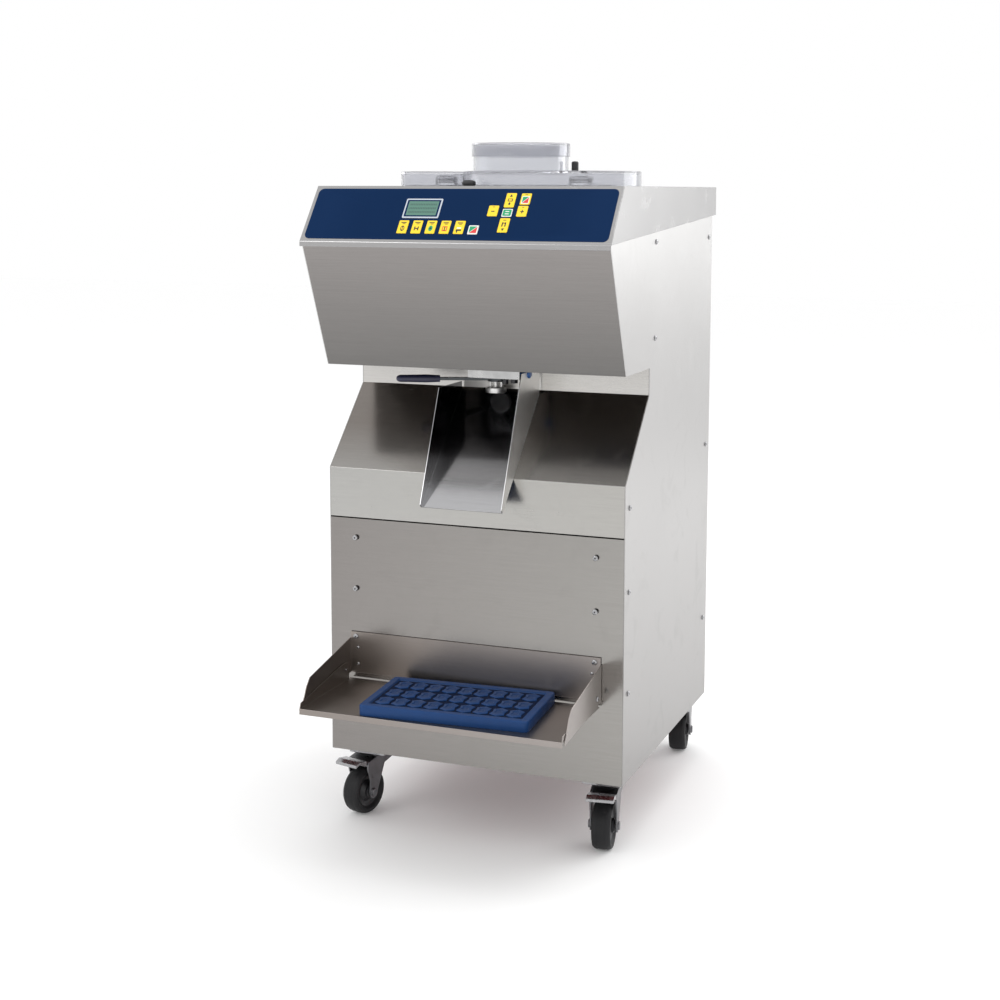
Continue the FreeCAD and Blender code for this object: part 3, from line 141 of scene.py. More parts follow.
def brushed_steel(name, colours, axis, reach, roughness, grain, spread=0.05, relief=0.10):
    """Sheet steel with a fine brushed grain, cloudy wiping marks and a few finger smears.

    Its colour drifts from the first to the second between two places along an axis, as painted shade and
    painted reflection."""
    steel = Shader(name, Metallic=1.0)
    fine = steel.noise(tuple(40 if letter == grain else 3200 for letter in "XYZ"), 3)
    broad = steel.noise(tuple(6 if letter == grain else 700 for letter in "XYZ"), 2)
    clouds = steel.noise((5, 5, 5), 4, 0.4)
    smears = steel.noise((17, 17, 17), 5, 1.2)
    grain_mix = steel.combine(steel.combine(fine, 0.6, "MULTIPLY"), steel.combine(broad, 0.4, "MULTIPLY"))
    place = steel.node("SeparateXYZ", Vector=steel.space.outputs["Object"]).outputs[axis]
    wander = steel.combine(steel.combine(clouds, -0.5), 0.12 * (reach[1] - reach[0]), "MULTIPLY")
    # The colour's drift along the axis is painted shade and painted reflection; the clouds make its edge
    # wander.
    drift = steel.tint(steel.ramp(steel.combine(place, wander), 0, 1, *reach), *colours)
    lines = steel.tint(steel.ramp(grain_mix, 0, 1, 0.38, 0.62), (1 - spread,) * 3, (1 + spread,) * 3)
    brushed = steel.node("MixRGB", Fac=1.0, Color1=drift, Color2=lines)
    brushed.blend_type = "MULTIPLY"
    steel.link(brushed.outputs["Color"], "Base Color")
    varied = steel.combine(
        steel.ramp(grain_mix, roughness - 0.03, roughness + 0.03),
        steel.combine(steel.ramp(clouds, -0.02, 0.02), steel.ramp(smears, 0.0, 0.05, 0.56, 0.7)),
    )
    steel.link(varied, "Roughness")
    steel.bump(grain_mix, relief, 0.00012)
    return steel.material


def plain_metal(name, colour, roughness, cloud=0.05, stretch=60, relief=0.1):
    """Machined or plated metal with slight clouding and fine pitting."""
    metal = Shader(name, Metallic=1.0)
    clouds = metal.noise((stretch,) * 3, 5, 0.3)
    pits = metal.noise((1500,) * 3, 2)
    dark = tuple(value * 0.8 for value in colour)
    metal.link(metal.tint(metal.ramp(clouds, 0, 1), dark, colour), "Base Color")
    metal.link(metal.ramp(clouds, roughness - cloud, roughness + cloud), "Roughness")
    metal.bump(pits, relief, 0.00008)
    return metal.material


def moulded(name, colour, roughness, grain=900, relief=0.12, wear=0.35, coat=0.0, specular=0.5):
    """Moulded plastic or paint with a fine grain and edges that have worn a little lighter."""
    plastic = Shader(name, Coat_Weight=coat, Specular_IOR_Level=specular)
    fine = plastic.noise((grain,) * 3, 3)
    patches = plastic.noise((28, 28, 28), 4)
    worn = tuple(min(1, value * (1 + wear) + 0.01 * wear) for value in colour)
    edge = plastic.ramp(plastic.pointiness(), 0, 1, 0.505, 0.56)
    mottled = plastic.combine(edge, plastic.ramp(patches, 0, 0.25, 0.4, 0.75))
    plastic.link(plastic.tint(mottled, colour, worn), "Base Color")
    plastic.link(plastic.ramp(patches, roughness - 0.05, roughness + 0.07), "Roughness")
    plastic.bump(fine, relief, 0.00015)
    return plastic.material


def rubber(name, colour, roughness, specular=0.25):
    """Dull rubber with a soft grain, paler dust in patches and a painted highlight on what stands proud."""
    made = Shader(name, Specular_IOR_Level=specular)
    fine = made.noise((700,) * 3, 4)
    dust = made.noise((40, 40, 40), 5, 0.5)
    pale = tuple(min(1, value * 1.4 + 0.006) for value in colour)
    # Paler on proud edges is a painted highlight; the paler patches from the dust noise are dust.
    raised = made.ramp(made.pointiness(), 0, 0.7, 0.5, 0.57)
    made.link(made.tint(made.combine(raised, made.ramp(dust, 0, 0.35)), colour, pale), "Base Color")
    made.link(made.ramp(dust, roughness - 0.06, roughness + 0.1), "Roughness")
    made.bump(fine, 0.25, 0.0002)
    return made.material


def clear_plastic(name):
    """Clear moulded plastic with the faint haze and scuffs of use, and painted shade on its outer edges."""
    clear = Shader(name, Transmission_Weight=0.85, IOR=1.46)
    scuffs = clear.noise((30, 30, 120), 5, 1.5)
    walls = clear.tint(scuffs, (0.88, 0.89, 0.93), (0.94, 0.95, 0.97))
    # The darker rims on outer edges are painted shade.
    edge = clear.ramp(clear.pointiness(), 0, 0.75, 0.51, 0.56)
    rims = clear.node("MixRGB", Fac=edge, Color1=walls, Color2=(0.34, 0.33, 0.40, 1))
    clear.link(rims.outputs["Color"], "Base Color")
    clear.link(clear.ramp(scuffs, 0.02, 0.12, 0.45, 0.7), "Roughness")
    clear.bump(scuffs, 0.05, 0.0004)
    return clear.material


def reach_of(node, axis):
    """Lowest and highest place of a CAD node along an axis."""
    low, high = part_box(node)
    return low["XYZ".index(axis)], high["XYZ".index(axis)]


def fade_above(node, start, stop):
    """Two heights, measured up from the foot of a CAD node."""
    foot, _ = reach_of(node, "Z")
    return foot + start, foot + stop


WIDTH = reach_of("lower_front_panel", "X")
SIDE_REACH = reach_of("side_panel_right", "Z")
HEAD_REACH = reach_of("head_front_panel", "Z")
RECESS_FADE = fade_above("recess_panel", 75.5 * MM, 150.5 * MM)
CHUTE_FADE = fade_above("discharge_chute", 35 * MM, 105 * MM)

# The cabinet is one kind of sheet steel. Its colours differ from panel to panel, and drift along some of
# them, to stand in for the reflections and shading of the room that the machine was photographed in.
STEEL_FRONT = brushed_steel(
    "steel_lower_front", ((0.25, 0.235, 0.225), (0.31, 0.30, 0.285)), "X", WIDTH, 0.20, "X")
STEEL_HEAD = brushed_steel(
    "steel_head_sheet", ((0.17, 0.165, 0.16), (0.265, 0.25, 0.242)), "Z", HEAD_REACH, 0.17, "X")
STEEL_BAND = brushed_steel("steel_band", ((0.42, 0.415, 0.40), (0.42, 0.41, 0.39)), "X", WIDTH, 0.22, "X")
STEEL_STRIP = brushed_steel("steel_upright_strip", ((0.56, 0.545, 0.525),) * 2, "X", WIDTH, 0.28, "X")
STEEL_RECESS = brushed_steel(
    "steel_recess", ((0.34, 0.33, 0.315), (0.22, 0.20, 0.185)), "Z", RECESS_FADE, 0.20, "X")
STEEL_CHUTE = brushed_steel(
    "steel_chute_inside", ((0.46, 0.46, 0.47), (0.11, 0.11, 0.115)), "Z", CHUTE_FADE, 0.13, "X")
STEEL_CHEEK = brushed_steel("steel_chute_outside", ((0.88, 0.87, 0.85),) * 2, "X", WIDTH, 0.42, "Z")
STEEL_SIDE = brushed_steel(
    "steel_side", ((0.33, 0.32, 0.315), (0.54, 0.535, 0.53)), "Z", SIDE_REACH, 0.34, "Z", 0.03)
STEEL_TOP = brushed_steel("steel_top_cover", ((0.40, 0.395, 0.395),) * 2, "X", WIDTH, 0.24, "X", 0.04)
STEEL_SHELF = brushed_steel(
    "steel_shelf", ((0.27, 0.24, 0.22), (0.34, 0.31, 0.295)), "X", WIDTH, 0.33, "X", 0.03, 0.05)
STEEL_PART = plain_metal("steel_machined", (0.55, 0.55, 0.55), 0.24)
STEEL_DARK = plain_metal("steel_machined_dark", (0.09, 0.095, 0.10), 0.3)
STEEL_BRIGHT = plain_metal("steel_turned_bright", (0.95, 0.94, 0.92), 0.42, 0.03, 80, 0.04)
ZINC = plain_metal("zinc_plated", (0.42, 0.42, 0.43), 0.28, 0.08, 90, 0.2)
ZINC_DULL = plain_metal("zinc_dull", (0.20, 0.20, 0.21), 0.34, 0.08, 90, 0.2)
CAST = plain_metal("machine_grey", (0.12, 0.12, 0.13), 0.5, 0.1, 50, 0.4)
ALUMINIUM = plain_metal("aluminium_fins", (0.62, 0.62, 0.63), 0.38)
FRAME_RED = moulded("frame_red_paint", (0.09, 0.006, 0.008), 0.42, 500, 0.2, 0.5)
NAVY_SKIN = moulded("keypad_navy_film", (0.002, 0.018, 0.066), 0.5, 1400, 0.08, 0.1, specular=0.05)
KEY_YELLOW = moulded("key_yellow_film", (0.90, 0.63, 0.02), 0.40, 1300, 0.08, 0.08)
KEY_WHITE = moulded("key_white_film", (0.78, 0.78, 0.74), 0.40, 1300, 0.08, 0.05)
KEY_GREEN = moulded("key_green_film", (0.01, 0.30, 0.12), 0.40, 1300, 0.08, 0.1)
KEY_RED = moulded("key_red_film", (0.62, 0.035, 0.03), 0.40, 1300, 0.08, 0.1)
KEY_BLACK = moulded("key_print_black", (0.02, 0.018, 0.015), 0.45, 1300, 0.05, 0.1)
LCD_FRAME = moulded("display_frame_silver", (0.48, 0.52, 0.58), 0.35, 1200, 0.08, 0.1)
LCD_GLASS = moulded("display_window_green", (0.07, 0.185, 0.14), 0.18, 2400, 0.03, 0.05, 0.6)
LCD_DARK = moulded("display_segments", (0.035, 0.10, 0.08), 0.3, 2400, 0.03, 0.05, 0.4)
BLACK = moulded("black_plastic", (0.012, 0.012, 0.014), 0.38, 700, 0.15, 0.8)
GRIP_NAVY = moulded("grip_navy_plastic", (0.008, 0.009, 0.035), 0.36, 600, 0.15, 0.6, 0.2)
BLUE_FITTING = moulded("blue_fitting_plastic", (0.01, 0.06, 0.20), 0.4, 600, 0.15, 0.4)
GREY = moulded("grey_plastic", (0.20, 0.205, 0.21), 0.5)
WHITE = moulded("white_plastic", (0.75, 0.75, 0.72), 0.45)
FOAM = moulded("insulation_foam", (0.025, 0.025, 0.027), 0.8, 300, 0.5)
MAT_BLUE = rubber("mat_blue_rubber", (0.002, 0.030, 0.115), 0.42)
# A darker copy of the mat's rubber, for the field between the pads: painted shade.
MAT_GROOVE_SHADE = rubber("mat_groove_painted_shade", (0.001, 0.007, 0.030), 0.6, 0.1)
TYRE = rubber("tyre_black_rubber", (0.010, 0.010, 0.011), 0.5)
SEAL = rubber("seal_grey_rubber", (0.10, 0.10, 0.11), 0.6)
CLEAR = clear_plastic("clear_moulded_plastic")

# --- Mesh helpers -------------------------------------------------------------------------------------


def shade(obj, angle=32):
    """Smooth shading that keeps edges sharper than the angle."""
    for face in obj.data.polygons:
        face.use_smooth = True
    obj.data.set_sharp_from_angle(angle=math.radians(angle))


def to_object(name, mesh_builder, material, body, replaced=(), bevel=0.0, segments=2, matrix=None):
    """Turns a bmesh into a finished piece that rides on a body."""
    mesh = bpy.data.meshes.new(name)
    if matrix is not None:
        bmesh.ops.transform(mesh_builder, matrix=matrix, verts=mesh_builder.verts)
    bmesh.ops.recalc_face_normals(mesh_builder, faces=mesh_builder.faces)
    mesh_builder.to_mesh(mesh)
    mesh_builder.free()
    obj = bpy.data.objects.new(name, mesh)
    bpy.context.scene.collection.objects.link(obj)
    for one in material if isinstance(material, (list, tuple)) else [material]:
        mesh.materials.append(one)
    if bevel:
        add_bevel(obj, bevel, segments)
    shade(obj)
    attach(obj, body)
    if replaced:
        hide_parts(*([replaced] if isinstance(replaced, str) else replaced))
    return obj


def add_bevel(obj, width, segments=2, angle=28):
    """Rounds the edges, and weights the normals by area so that large faces stay flat."""
    bevel = obj.modifiers.new("rounded_edges", "BEVEL")
    bevel.width = width
    bevel.segments = segments
    bevel.limit_method = "ANGLE"
    bevel.angle_limit = math.radians(angle)
    bevel.use_clamp_overlap = False
    bevel.miter_outer = "MITER_ARC"
    flat = obj.modifiers.new("flat_faces", "WEIGHTED_NORMAL")
    flat.keep_sharp = True
    return bevel


def softened(node, material, width=0.35 * MM, segments=2, angle=28):
    """The CAD node's own shape with its edges rounded, as a piece that stands for the node."""
    source = NODES[node]
    shape = bmesh.new()
    shape.from_mesh(source.data)
    bmesh.ops.remove_doubles(shape, verts=shape.verts, dist=1e-6)
    edges = [e for e in shape.edges if len(e.link_faces) == 2]
    bmesh.ops.dissolve_limit(shape, angle_limit=math.radians(0.6), verts=shape.verts, edges=edges)
    obj = to_object(node + "_skin", shape, material, node_body(node), node, width, segments)
    if width:
        obj.modifiers[0].angle_limit = math.radians(angle)
    return obj


def ring_faces(shape, first, second):
    """Joins two loops of the same length with quads."""
    count = len(first)
    for number in range(count):
        following = (number + 1) % count
        shape.faces.new((first[number], first[following], second[following], second[number]))


def lathe(profile, count=72, phase=0.0):
    """Turns (radius, height) points about Z. A radius of 0 closes the shape."""
    shape = bmesh.new()
    rings = []
    for radius, height in profile:
        if radius < 1e-7:
            rings.append([shape.verts.new((0, 0, height))])
            continue
        turns = [phase + 2 * math.pi * number / count for number in range(count)]
        rings.append([shape.verts.new((radius * math.cos(a), radius * math.sin(a), height)) for a in turns])
    for low, high in zip(rings, rings[1:]):
        if len(low) == len(high) == 1:
            continue
        if len(low) == 1 or len(high) == 1:
            tip, loop = (low[0], high) if len(low) == 1 else (high[0], low)
            for number in range(count):
                shape.faces.new((tip, loop[number], loop[(number + 1) % count]))
        else:
            ring_faces(shape, low, high)
    return shape


def closed_lathe(profile, count=72):
    """Turns a closed outline that doesn't touch the axis."""
    shape = lathe(profile, count)
    shape.verts.ensure_lookup_table()
    last = len(profile) - 1
    first = [shape.verts[number] for number in range(count)]
    final = [shape.verts[last * count + number] for number in range(count)]
    ring_faces(shape, final, first)
    return shape


def slab(outline, low, high, shape=None, slot=0):
    """Prism over an outline, between two heights."""
    shape = shape or bmesh.new()
    rows = [[shape.verts.new((x, y, z)) for x, y in outline] for z in (low, high)]
    before = set(shape.faces)
    ring_faces(shape, *rows)
    shape.faces.new(rows[0][::-1])
    shape.faces.new(rows[1])
    for face in set(shape.faces) - before:
        face.material_index = slot
    return shape


def rounded_rectangle(half_x, half_y, radius, x=0.0, y=0.0, steps=6):
    """Outline of a rectangle with arcs for corners."""
    points = []
    for number, (side_x, side_y) in enumerate(((1, 1), (-1, 1), (-1, -1), (1, -1))):
        for step in range(steps + 1):
            turn = math.pi / 2 * (number + step / steps)
            across = side_x * (half_x - radius) + radius * math.cos(turn)
            points.append((x + across, y + side_y * (half_y - radius) + radius * math.sin(turn)))
    return points


def disc(radius, x=0.0, y=0.0, count=20):
    """Outline of a circle or, with a low count, of a regular polygon."""
    turns = [2 * math.pi * number / count for number in range(count)]
    return [(x + radius * math.cos(a), y + radius * math.sin(a)) for a in turns]


def bar(x, y, half_x, half_y):
    """Outline of a plain rectangle."""
    left, right, low, high = x - half_x, x + half_x, y - half_y, y + half_y
    return [(left, low), (right, low), (right, high), (left, high)]


def along(axis, position):
    """Frame at a position with its Z along an axis."""
    turn = Vector((0, 0, 1)).rotation_difference(Vector(axis)).to_matrix().to_4x4()
    return Matrix.Translation(Vector(position)) @ turn


# --- Camera -------------------------------------------------------------------------------------------


CAMERA_RIGHT = 0.9855
CAMERA_DISTANCE = 2.4351
CAMERA_HEIGHT = 1.0738
CAMERA_TURN = tuple(math.radians(degrees) for degrees in (21.066, 6.574, 0.112))
CAMERA_LENS = 58.78
CAMERA_SHIFT = -0.12


def add_camera():
    """Stands in front and to the right, level with the top of the machine, and looks slightly down."""
    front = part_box("lower_front_panel")[0][1]
    yaw, pitch, roll = CAMERA_TURN
    data = bpy.data.cameras.new("camera")
    data.sensor_width = 36
    data.lens = CAMERA_LENS
    data.shift_y = CAMERA_SHIFT
    data.clip_end = 60
    camera = bpy.data.objects.new("camera", data)
    bpy.context.scene.collection.objects.link(camera)
    turn = Matrix.Rotation(yaw, 4, "Z") @ Matrix.Rotation(math.pi / 2 - pitch, 4, "X")
    place = Matrix.Translation((CAMERA_RIGHT, front - CAMERA_DISTANCE, CAMERA_HEIGHT))
    camera.matrix_world = place @ turn @ Matrix.Rotation(roll, 4, "Z")
    bpy.context.scene.camera = camera


# --- Cabinet ------------------------------------------------------------------------------------------


SLOPE_MIDDLE = RECESS_FADE[1]
SLANT = (0.3, 0.95)


def cabinet():
    """Sheets, frame and screws. The recess panel has a material each for its band, slope and strip, lighter
    and darker copies of one steel as painted light and shade.
    """
    softened("lower_front_panel", STEEL_FRONT)
    softened("head_front_panel", STEEL_HEAD)
    recess = softened("recess_panel", [STEEL_BAND, STEEL_RECESS, STEEL_STRIP])
    # The slope is painted darker as shade, the band and the strip lighter as painted light.
    for face in recess.data.polygons:
        slanted = SLANT[0] < abs(face.normal.z) < SLANT[1]
        face.material_index = 1 if slanted else 2 if face.center.z > SLOPE_MIDDLE else 0
    softened("control_fascia", STEEL_TOP, 0.5 * MM)
    softened("top_cover", STEEL_TOP, 0.5 * MM)
    softened("side_panel_left", STEEL_SIDE)
    softened("side_panel_right", STEEL_SIDE)
    softened("rear_panel", STEEL_SIDE, 0.3 * MM)
    softened("base_frame", FRAME_RED, 0.8 * MM)
    softened("button_head_screws", ZINC, 0.3 * MM, 2, 40)
    screw_socket_shade()


def screw_socket_shade():
    """Black hexagons lying on the button heads' crowns: painted shade where the heads' hexagon sockets are.
    """
    heads = find_screw_heads()
    shape = bmesh.new()
    for position, axis in heads:
        hexagon = slab(disc(1.5 * MM, count=6), -0.25 * MM, 0.02 * MM)
        hexagon.transform(along(axis, position))
        mesh = bpy.data.meshes.new("socket")
        hexagon.to_mesh(mesh)
        hexagon.free()
        shape.from_mesh(mesh)
        bpy.data.meshes.remove(mesh)
    # The hexagons are black as painted shade for the sockets' hollows.
    to_object("screw_socket_shade", shape, BLACK, "cabinet")


def find_screw_heads():
    """Crown and outward direction of every screw, read from the separate solids of the CAD node.

    The shelf's studs face forward and stand further in than all other screws, which face sideways."""
    stud_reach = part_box("side_panel_right")[1][0] - 42 * MM
    shape = bmesh.new()
    shape.from_mesh(NODES["button_head_screws"].data)
    bmesh.ops.remove_doubles(shape, verts=shape.verts, dist=1e-6)
    waiting = set(shape.verts)
    heads = []
    while waiting:
        island, front = set(), [waiting.pop()]
        while front:
            vert = front.pop()
            island.add(vert)
            for edge in vert.link_edges:
                other = edge.other_vert(vert)
                if other in waiting:
                    waiting.remove(other)
                    front.append(other)
        low = Vector([min(v.co[i] for v in island) for i in range(3)])
        high = Vector([max(v.co[i] for v in island) for i in range(3)])
        centre = (low + high) / 2
        if abs(centre.x) < stud_reach:
            heads.append((Vector((centre.x, low.y, centre.z)), Vector((0, -1, 0))))
        else:
            side = math.copysign(1, centre.x)
            tip = high.x if side > 0 else low.x
            heads.append((Vector((tip, centre.y, centre.z)), Vector((side, 0, 0))))
    shape.free()
    return heads


# --- Control panel ------------------------------------------------------------------------------------

PRESS = Vector(JOINTS["key_up_press"]["axis"])
OUTWARD = -PRESS
UP_SLOPE = Vector((0, OUTWARD.z, -OUTWARD.y))
KEYS = [node for node in NODES if node.startswith("key_")]


def panel_frame(origin):
    """Frame with X across the panel, Y up its slope and Z out of it."""
    turn = Matrix((Vector((1, 0, 0)), UP_SLOPE, OUTWARD)).transposed().to_4x4()
    return Matrix.Translation(origin) @ turn


def key_size(node):
    """Half width and half height of a key, and the middle of its top face."""
    data = NODES[node].data
    centre = middle(node)
    spread_x = [(v.co - centre).x for v in data.vertices]
    spread_y = [(v.co - centre).dot(UP_SLOPE) for v in data.vertices]
    spread_z = [(v.co - centre).dot(OUTWARD) for v in data.vertices]
    return max(spread_x), max(spread_y), centre + OUTWARD * max(spread_z)


PRINT = 0.06 * MM


def arrow(x, y, size, up=1):
    """Outline of a triangle that points up, or down with up=-1."""
    foot, tip = y - up * size * 0.5, y + up * size * 0.8
    return [(x - size, foot), (x + size, foot), (x, tip)][::up]


def printed(node, shapes):
    """Thin printed shapes on a key, as (outline, colour slot, layer)."""
    half_x, half_y, top = key_size(node)
    shape = bmesh.new()
    for outline, colour, layer in shapes:
        scaled = [(x * half_x, y * half_y) for x, y in outline]
        slab(scaled, -0.02 * MM, PRINT * (1 + layer), shape, colour)
    body = node_body(node)
    inks = [KEY_BLACK, KEY_GREEN, KEY_RED, KEY_WHITE, KEY_YELLOW]
    return to_object(node + "_print", shape, inks, body, matrix=panel_frame(top))


def split_square(left, low, right, high):
    """Green over red, parted by a white diagonal."""
    edge, gap = 0.12, 0.12 * 1.6
    green = [(left + edge, low + gap), (right - gap, high - edge), (left + edge, high - edge)]
    red = [(left + gap, low + edge), (right - edge, low + edge), (right - edge, high - gap)]
    return [([(left, low), (right, low), (right, high), (left, high)], 3, 0), (green, 1, 1), (red, 2, 1)]


def keypad():
    """Navy film with raised keys, each with a plain pictogram of its own."""
    softened("keypad_membrane", NAVY_SKIN, 0.0)
    for node in KEYS:
        white = node in ("key_start_stop", "key_set")
        softened(node, KEY_WHITE if white else KEY_YELLOW, 0.3 * MM)
    caption = [(bar(0, 0.66, 0.55, 0.07), 0, 0), (bar(0.1, 0.46, 0.3, 0.045), 0, 0)]
    printed("key_program_1", caption + [
        (disc(0.42, 0, -0.25), 0, 0), (disc(0.27, 0, -0.25), 4, 1), (bar(0, -0.2, 0.07, 0.3), 0, 2)])
    printed("key_program_2", caption + [
        (bar(-0.35, -0.25, 0.12, 0.3), 0, 0), (bar(0.35, -0.25, 0.12, 0.3), 0, 0),
        (bar(0, -0.25, 0.3, 0.08), 0, 1)])
    printed("key_program_3", caption + [
        (disc(0.44, 0, -0.22), 1, 0), (arrow(0, -0.2, 0.28), 0, 1)])
    printed("key_program_4", caption + [
        (bar(0, -0.25, 0.5, 0.36), 2, 0), (bar(0, -0.25, 0.34, 0.22), 4, 1),
        (bar(0, -0.25, 0.1, 0.3), 0, 2)])
    printed("key_program_5", caption + [
        (bar(0, -0.45, 0.55, 0.12), 0, 0), (bar(0, -0.12, 0.42, 0.1), 3, 0),
        (disc(0.14, -0.3, -0.7), 0, 1)])
    printed("key_start_stop", split_square(-0.88, -0.86, 0.88, 0.86))
    printed("key_run", [(bar(0, 0.76, 0.3, 0.05), 0, 0)] + split_square(-0.74, -0.85, 0.74, 0.5))
    printed("key_up", [
        (arrow(0, 0.62, 0.3), 0, 0), (bar(0, 0.02, 0.5, 0.2), 0, 0), (bar(0, 0.02, 0.34, 0.1), 4, 1),
        (disc(0.2, 0, -0.5), 0, 0)])
    printed("key_down", [
        (bar(0, 0.72, 0.3, 0.05), 0, 0),
        (bar(-0.3, 0.1, 0.12, 0.3), 0, 0), (bar(0.3, 0.1, 0.12, 0.3), 0, 0),
        (bar(0, 0.3, 0.4, 0.06), 0, 1), (arrow(0, -0.6, 0.3, -1), 0, 0)])
    printed("key_minus", [(bar(0, 0.72, 0.2, 0.05), 0, 0), (bar(0, -0.1, 0.34, 0.09), 0, 0)])
    printed("key_plus", [
        (bar(0, 0.72, 0.2, 0.05), 0, 0), (bar(0, -0.1, 0.36, 0.09), 0, 0),
        (bar(0, -0.1, 0.09, 0.34), 0, 1)])
    printed("key_set", [
        (rounded_rectangle(0.84, 0.80, 0.2), 1, 0), (bar(0, -0.3, 0.4, 0.1), 3, 1),
        (bar(0, 0.3, 0.4, 0.1), 3, 1)])
    display()


def display():
    """Silver frame round a grey-green display with faint rows of dots."""
    node = "display_window"
    half_x, half_y, top = key_size(node)
    place = panel_frame(top)
    softened(node, LCD_FRAME, 0.2 * MM)
    shape = slab(rounded_rectangle(half_x - 2.4 * MM, half_y - 2.6 * MM, 1.2 * MM), -0.3 * MM, 0.05 * MM)
    to_object("display_bezel", shape, NAVY_SKIN, "cabinet", matrix=place)
    shape = slab(rounded_rectangle(half_x - 5.4 * MM, half_y - 5.2 * MM, 0.6 * MM), -0.3 * MM, 0.1 * MM)
    to_object("display_glass", shape, LCD_GLASS, "cabinet", matrix=place)
    shape = bmesh.new()
    for row in range(3):
        for column in range(16):
            x = (column - 7.5) * 2.9 * MM
            y = (1 - row) * 7.4 * MM
            slab(bar(x, y, 0.95 * MM, 1.7 * MM), 0, 0.13 * MM, shape)
    to_object("display_dots", shape, LCD_DARK, "cabinet", matrix=place)


# --- Shelf and mat ------------------------------------------------------------------------------------


MAT_TURN = math.radians(3.5)
MAT_HALF = (139.5 * MM, 80.5 * MM)
MAT_RIM = 13 * MM
MAT_DROP = 2.5 * MM
MAT_RISE = reach_of("rubber_mat", "Z")[1] - reach_of("rubber_mat", "Z")[0]


def mat_frame():
    """Frame on the mat's underside, turned as the mat lies."""
    low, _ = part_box("rubber_mat")
    centre = middle("rubber_mat")
    return Matrix.Translation((centre.x, centre.y, low[2])) @ Matrix.Rotation(MAT_TURN, 4, "Z")


def mat():
    """Thick rubber mat: rounded rim, sunken field and rows of raised chevron pads."""
    half_x, half_y = MAT_HALF
    levels = [
        (0.5 * MM, 0.0), (0.0, 1.0 * MM), (0.0, MAT_RISE - 2.5 * MM), (0.5 * MM, MAT_RISE - 1.0 * MM),
        (1.9 * MM, MAT_RISE), (MAT_RIM - 1.2 * MM, MAT_RISE), (MAT_RIM, MAT_RISE - 0.9 * MM),
        (MAT_RIM + 1.0 * MM, MAT_RISE - MAT_DROP),
    ]
    shape = bmesh.new()
    loops = []
    for inset, height in levels:
        outline = rounded_rectangle(half_x - inset, half_y - inset, max(8 * MM - inset, 2.5 * MM))
        loops.append([shape.verts.new((x, y, height)) for x, y in outline])
    for low, high in zip(loops, loops[1:]):
        ring_faces(shape, low, high)
    shape.faces.new(loops[0][::-1])
    # The sunken field between the pads gets the darker rubber as painted shade.
    shape.faces.new(loops[-1]).material_index = 1
    to_object("mat_base", shape, [MAT_BLUE, MAT_GROOVE_SHADE], "tray", "rubber_mat", matrix=mat_frame())
    mat_pads(half_x - MAT_RIM, half_y - MAT_RIM, MAT_RISE - MAT_DROP)


def shrunk(outline, x, y, share):
    """An outline drawn in towards a point."""
    return [(x + (px - x) * share, y + (py - y) * share) for px, py in outline]


def mat_pads(reach_x, reach_y, floor):
    """Rows of waisted pads in the sunken field, each with a dip in its top."""
    rows, columns = 3, 9
    pitch_x = (2 * reach_x - 8 * MM) / columns
    pitch_y = (2 * reach_y - 6 * MM) / rows
    shape = bmesh.new()
    for row in range(rows):
        for column in range(columns):
            x = (column - (columns - 1) / 2) * pitch_x
            y = (row - (rows - 1) / 2) * pitch_y
            a, b = pitch_x * 0.5 - 1.6 * MM, pitch_y * 0.5 - 2.2 * MM
            kink = pitch_y * 0.17
            waist = a * 0.82
            outline = [
                (x - a, y - b + kink), (x, y - b), (x + a, y - b + kink), (x + waist, y),
                (x + a, y + b - kink), (x, y + b), (x - a, y + b - kink), (x - waist, y),
            ]
            inner = shrunk(outline, x, y, 0.80)
            groove = shrunk(outline, x, y, 0.52)
            levels = [(outline, 0), (outline, 1.3 * MM), (inner, 2.2 * MM), (groove, 2.2 * MM)]
            loops = [[shape.verts.new((px, py, floor + rise)) for px, py in line] for line, rise in levels]
            for low, high in zip(loops, loops[1:]):
                ring_faces(shape, low, high)
            dip = [shape.verts.new((px, py, floor + 1.2 * MM)) for px, py in shrunk(outline, x, y, 0.4)]
            ring_faces(shape, loops[-1], dip)
            shape.faces.new(dip)
    to_object("mat_pads", shape, MAT_BLUE, "tray", bevel=0.25 * MM, segments=1, matrix=mat_frame())


def shelf():
    """Bracket and tray in sheet steel, the rivets and the mat."""
    softened("shelf_bracket", STEEL_SHELF, 0.4 * MM)
    softened("shelf_tray", STEEL_SHELF, 0.4 * MM)
    tray_rivets()
    mat()


def tray_rivets():
    """Rivets that hold the bracket's arms to its back plate."""
    low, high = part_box("shelf_bracket")
    shape = bmesh.new()
    for side in (-1, 1):
        for above_foot in (32 * MM, 60 * MM):
            across = side * (high[0] - 15.6 * MM)
            position = Vector((across, high[1] - 1.5 * MM, low[2] + above_foot))
            head = lathe([(2.6 * MM, 0), (2.5 * MM, 0.7 * MM), (1.6 * MM, 1.3 * MM), (0, 1.5 * MM)], 20)
            head.transform(along((0, -1, 0), position))
            mesh = bpy.data.meshes.new("rivet")
            head.to_mesh(mesh)
            head.free()
            shape.from_mesh(mesh)
            bpy.data.meshes.remove(mesh)
    to_object("bracket_rivets", shape, ZINC, "cabinet")


# --- Outlet -------------------------------------------------------------------------------------------


def outlet():
    """Block, lever, knob and chute. The chute's outer cheeks have a material of their own, a lighter copy
    of its steel as painted light, and its inside darkens towards the top as painted shade.
    """
    chute = softened("discharge_chute", [STEEL_CHUTE, STEEL_CHEEK], 0.3 * MM)
    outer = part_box("discharge_chute")[1][0]
    # Outer cheek faces get the light steel as painted light; the other faces keep the inside steel with its
    # painted shade.
    for face in chute.data.polygons:
        face.material_index = int(abs(face.center.x) > outer - 0.1 * MM)
    softened("outlet_block", STEEL_PART, 0.8 * MM)
    softened("gate_lever", STEEL_DARK, 0.6 * MM)
    softened("clamp_knob", STEEL_BRIGHT, 0.8 * MM)
    lever_grip()
    outlet_fittings()


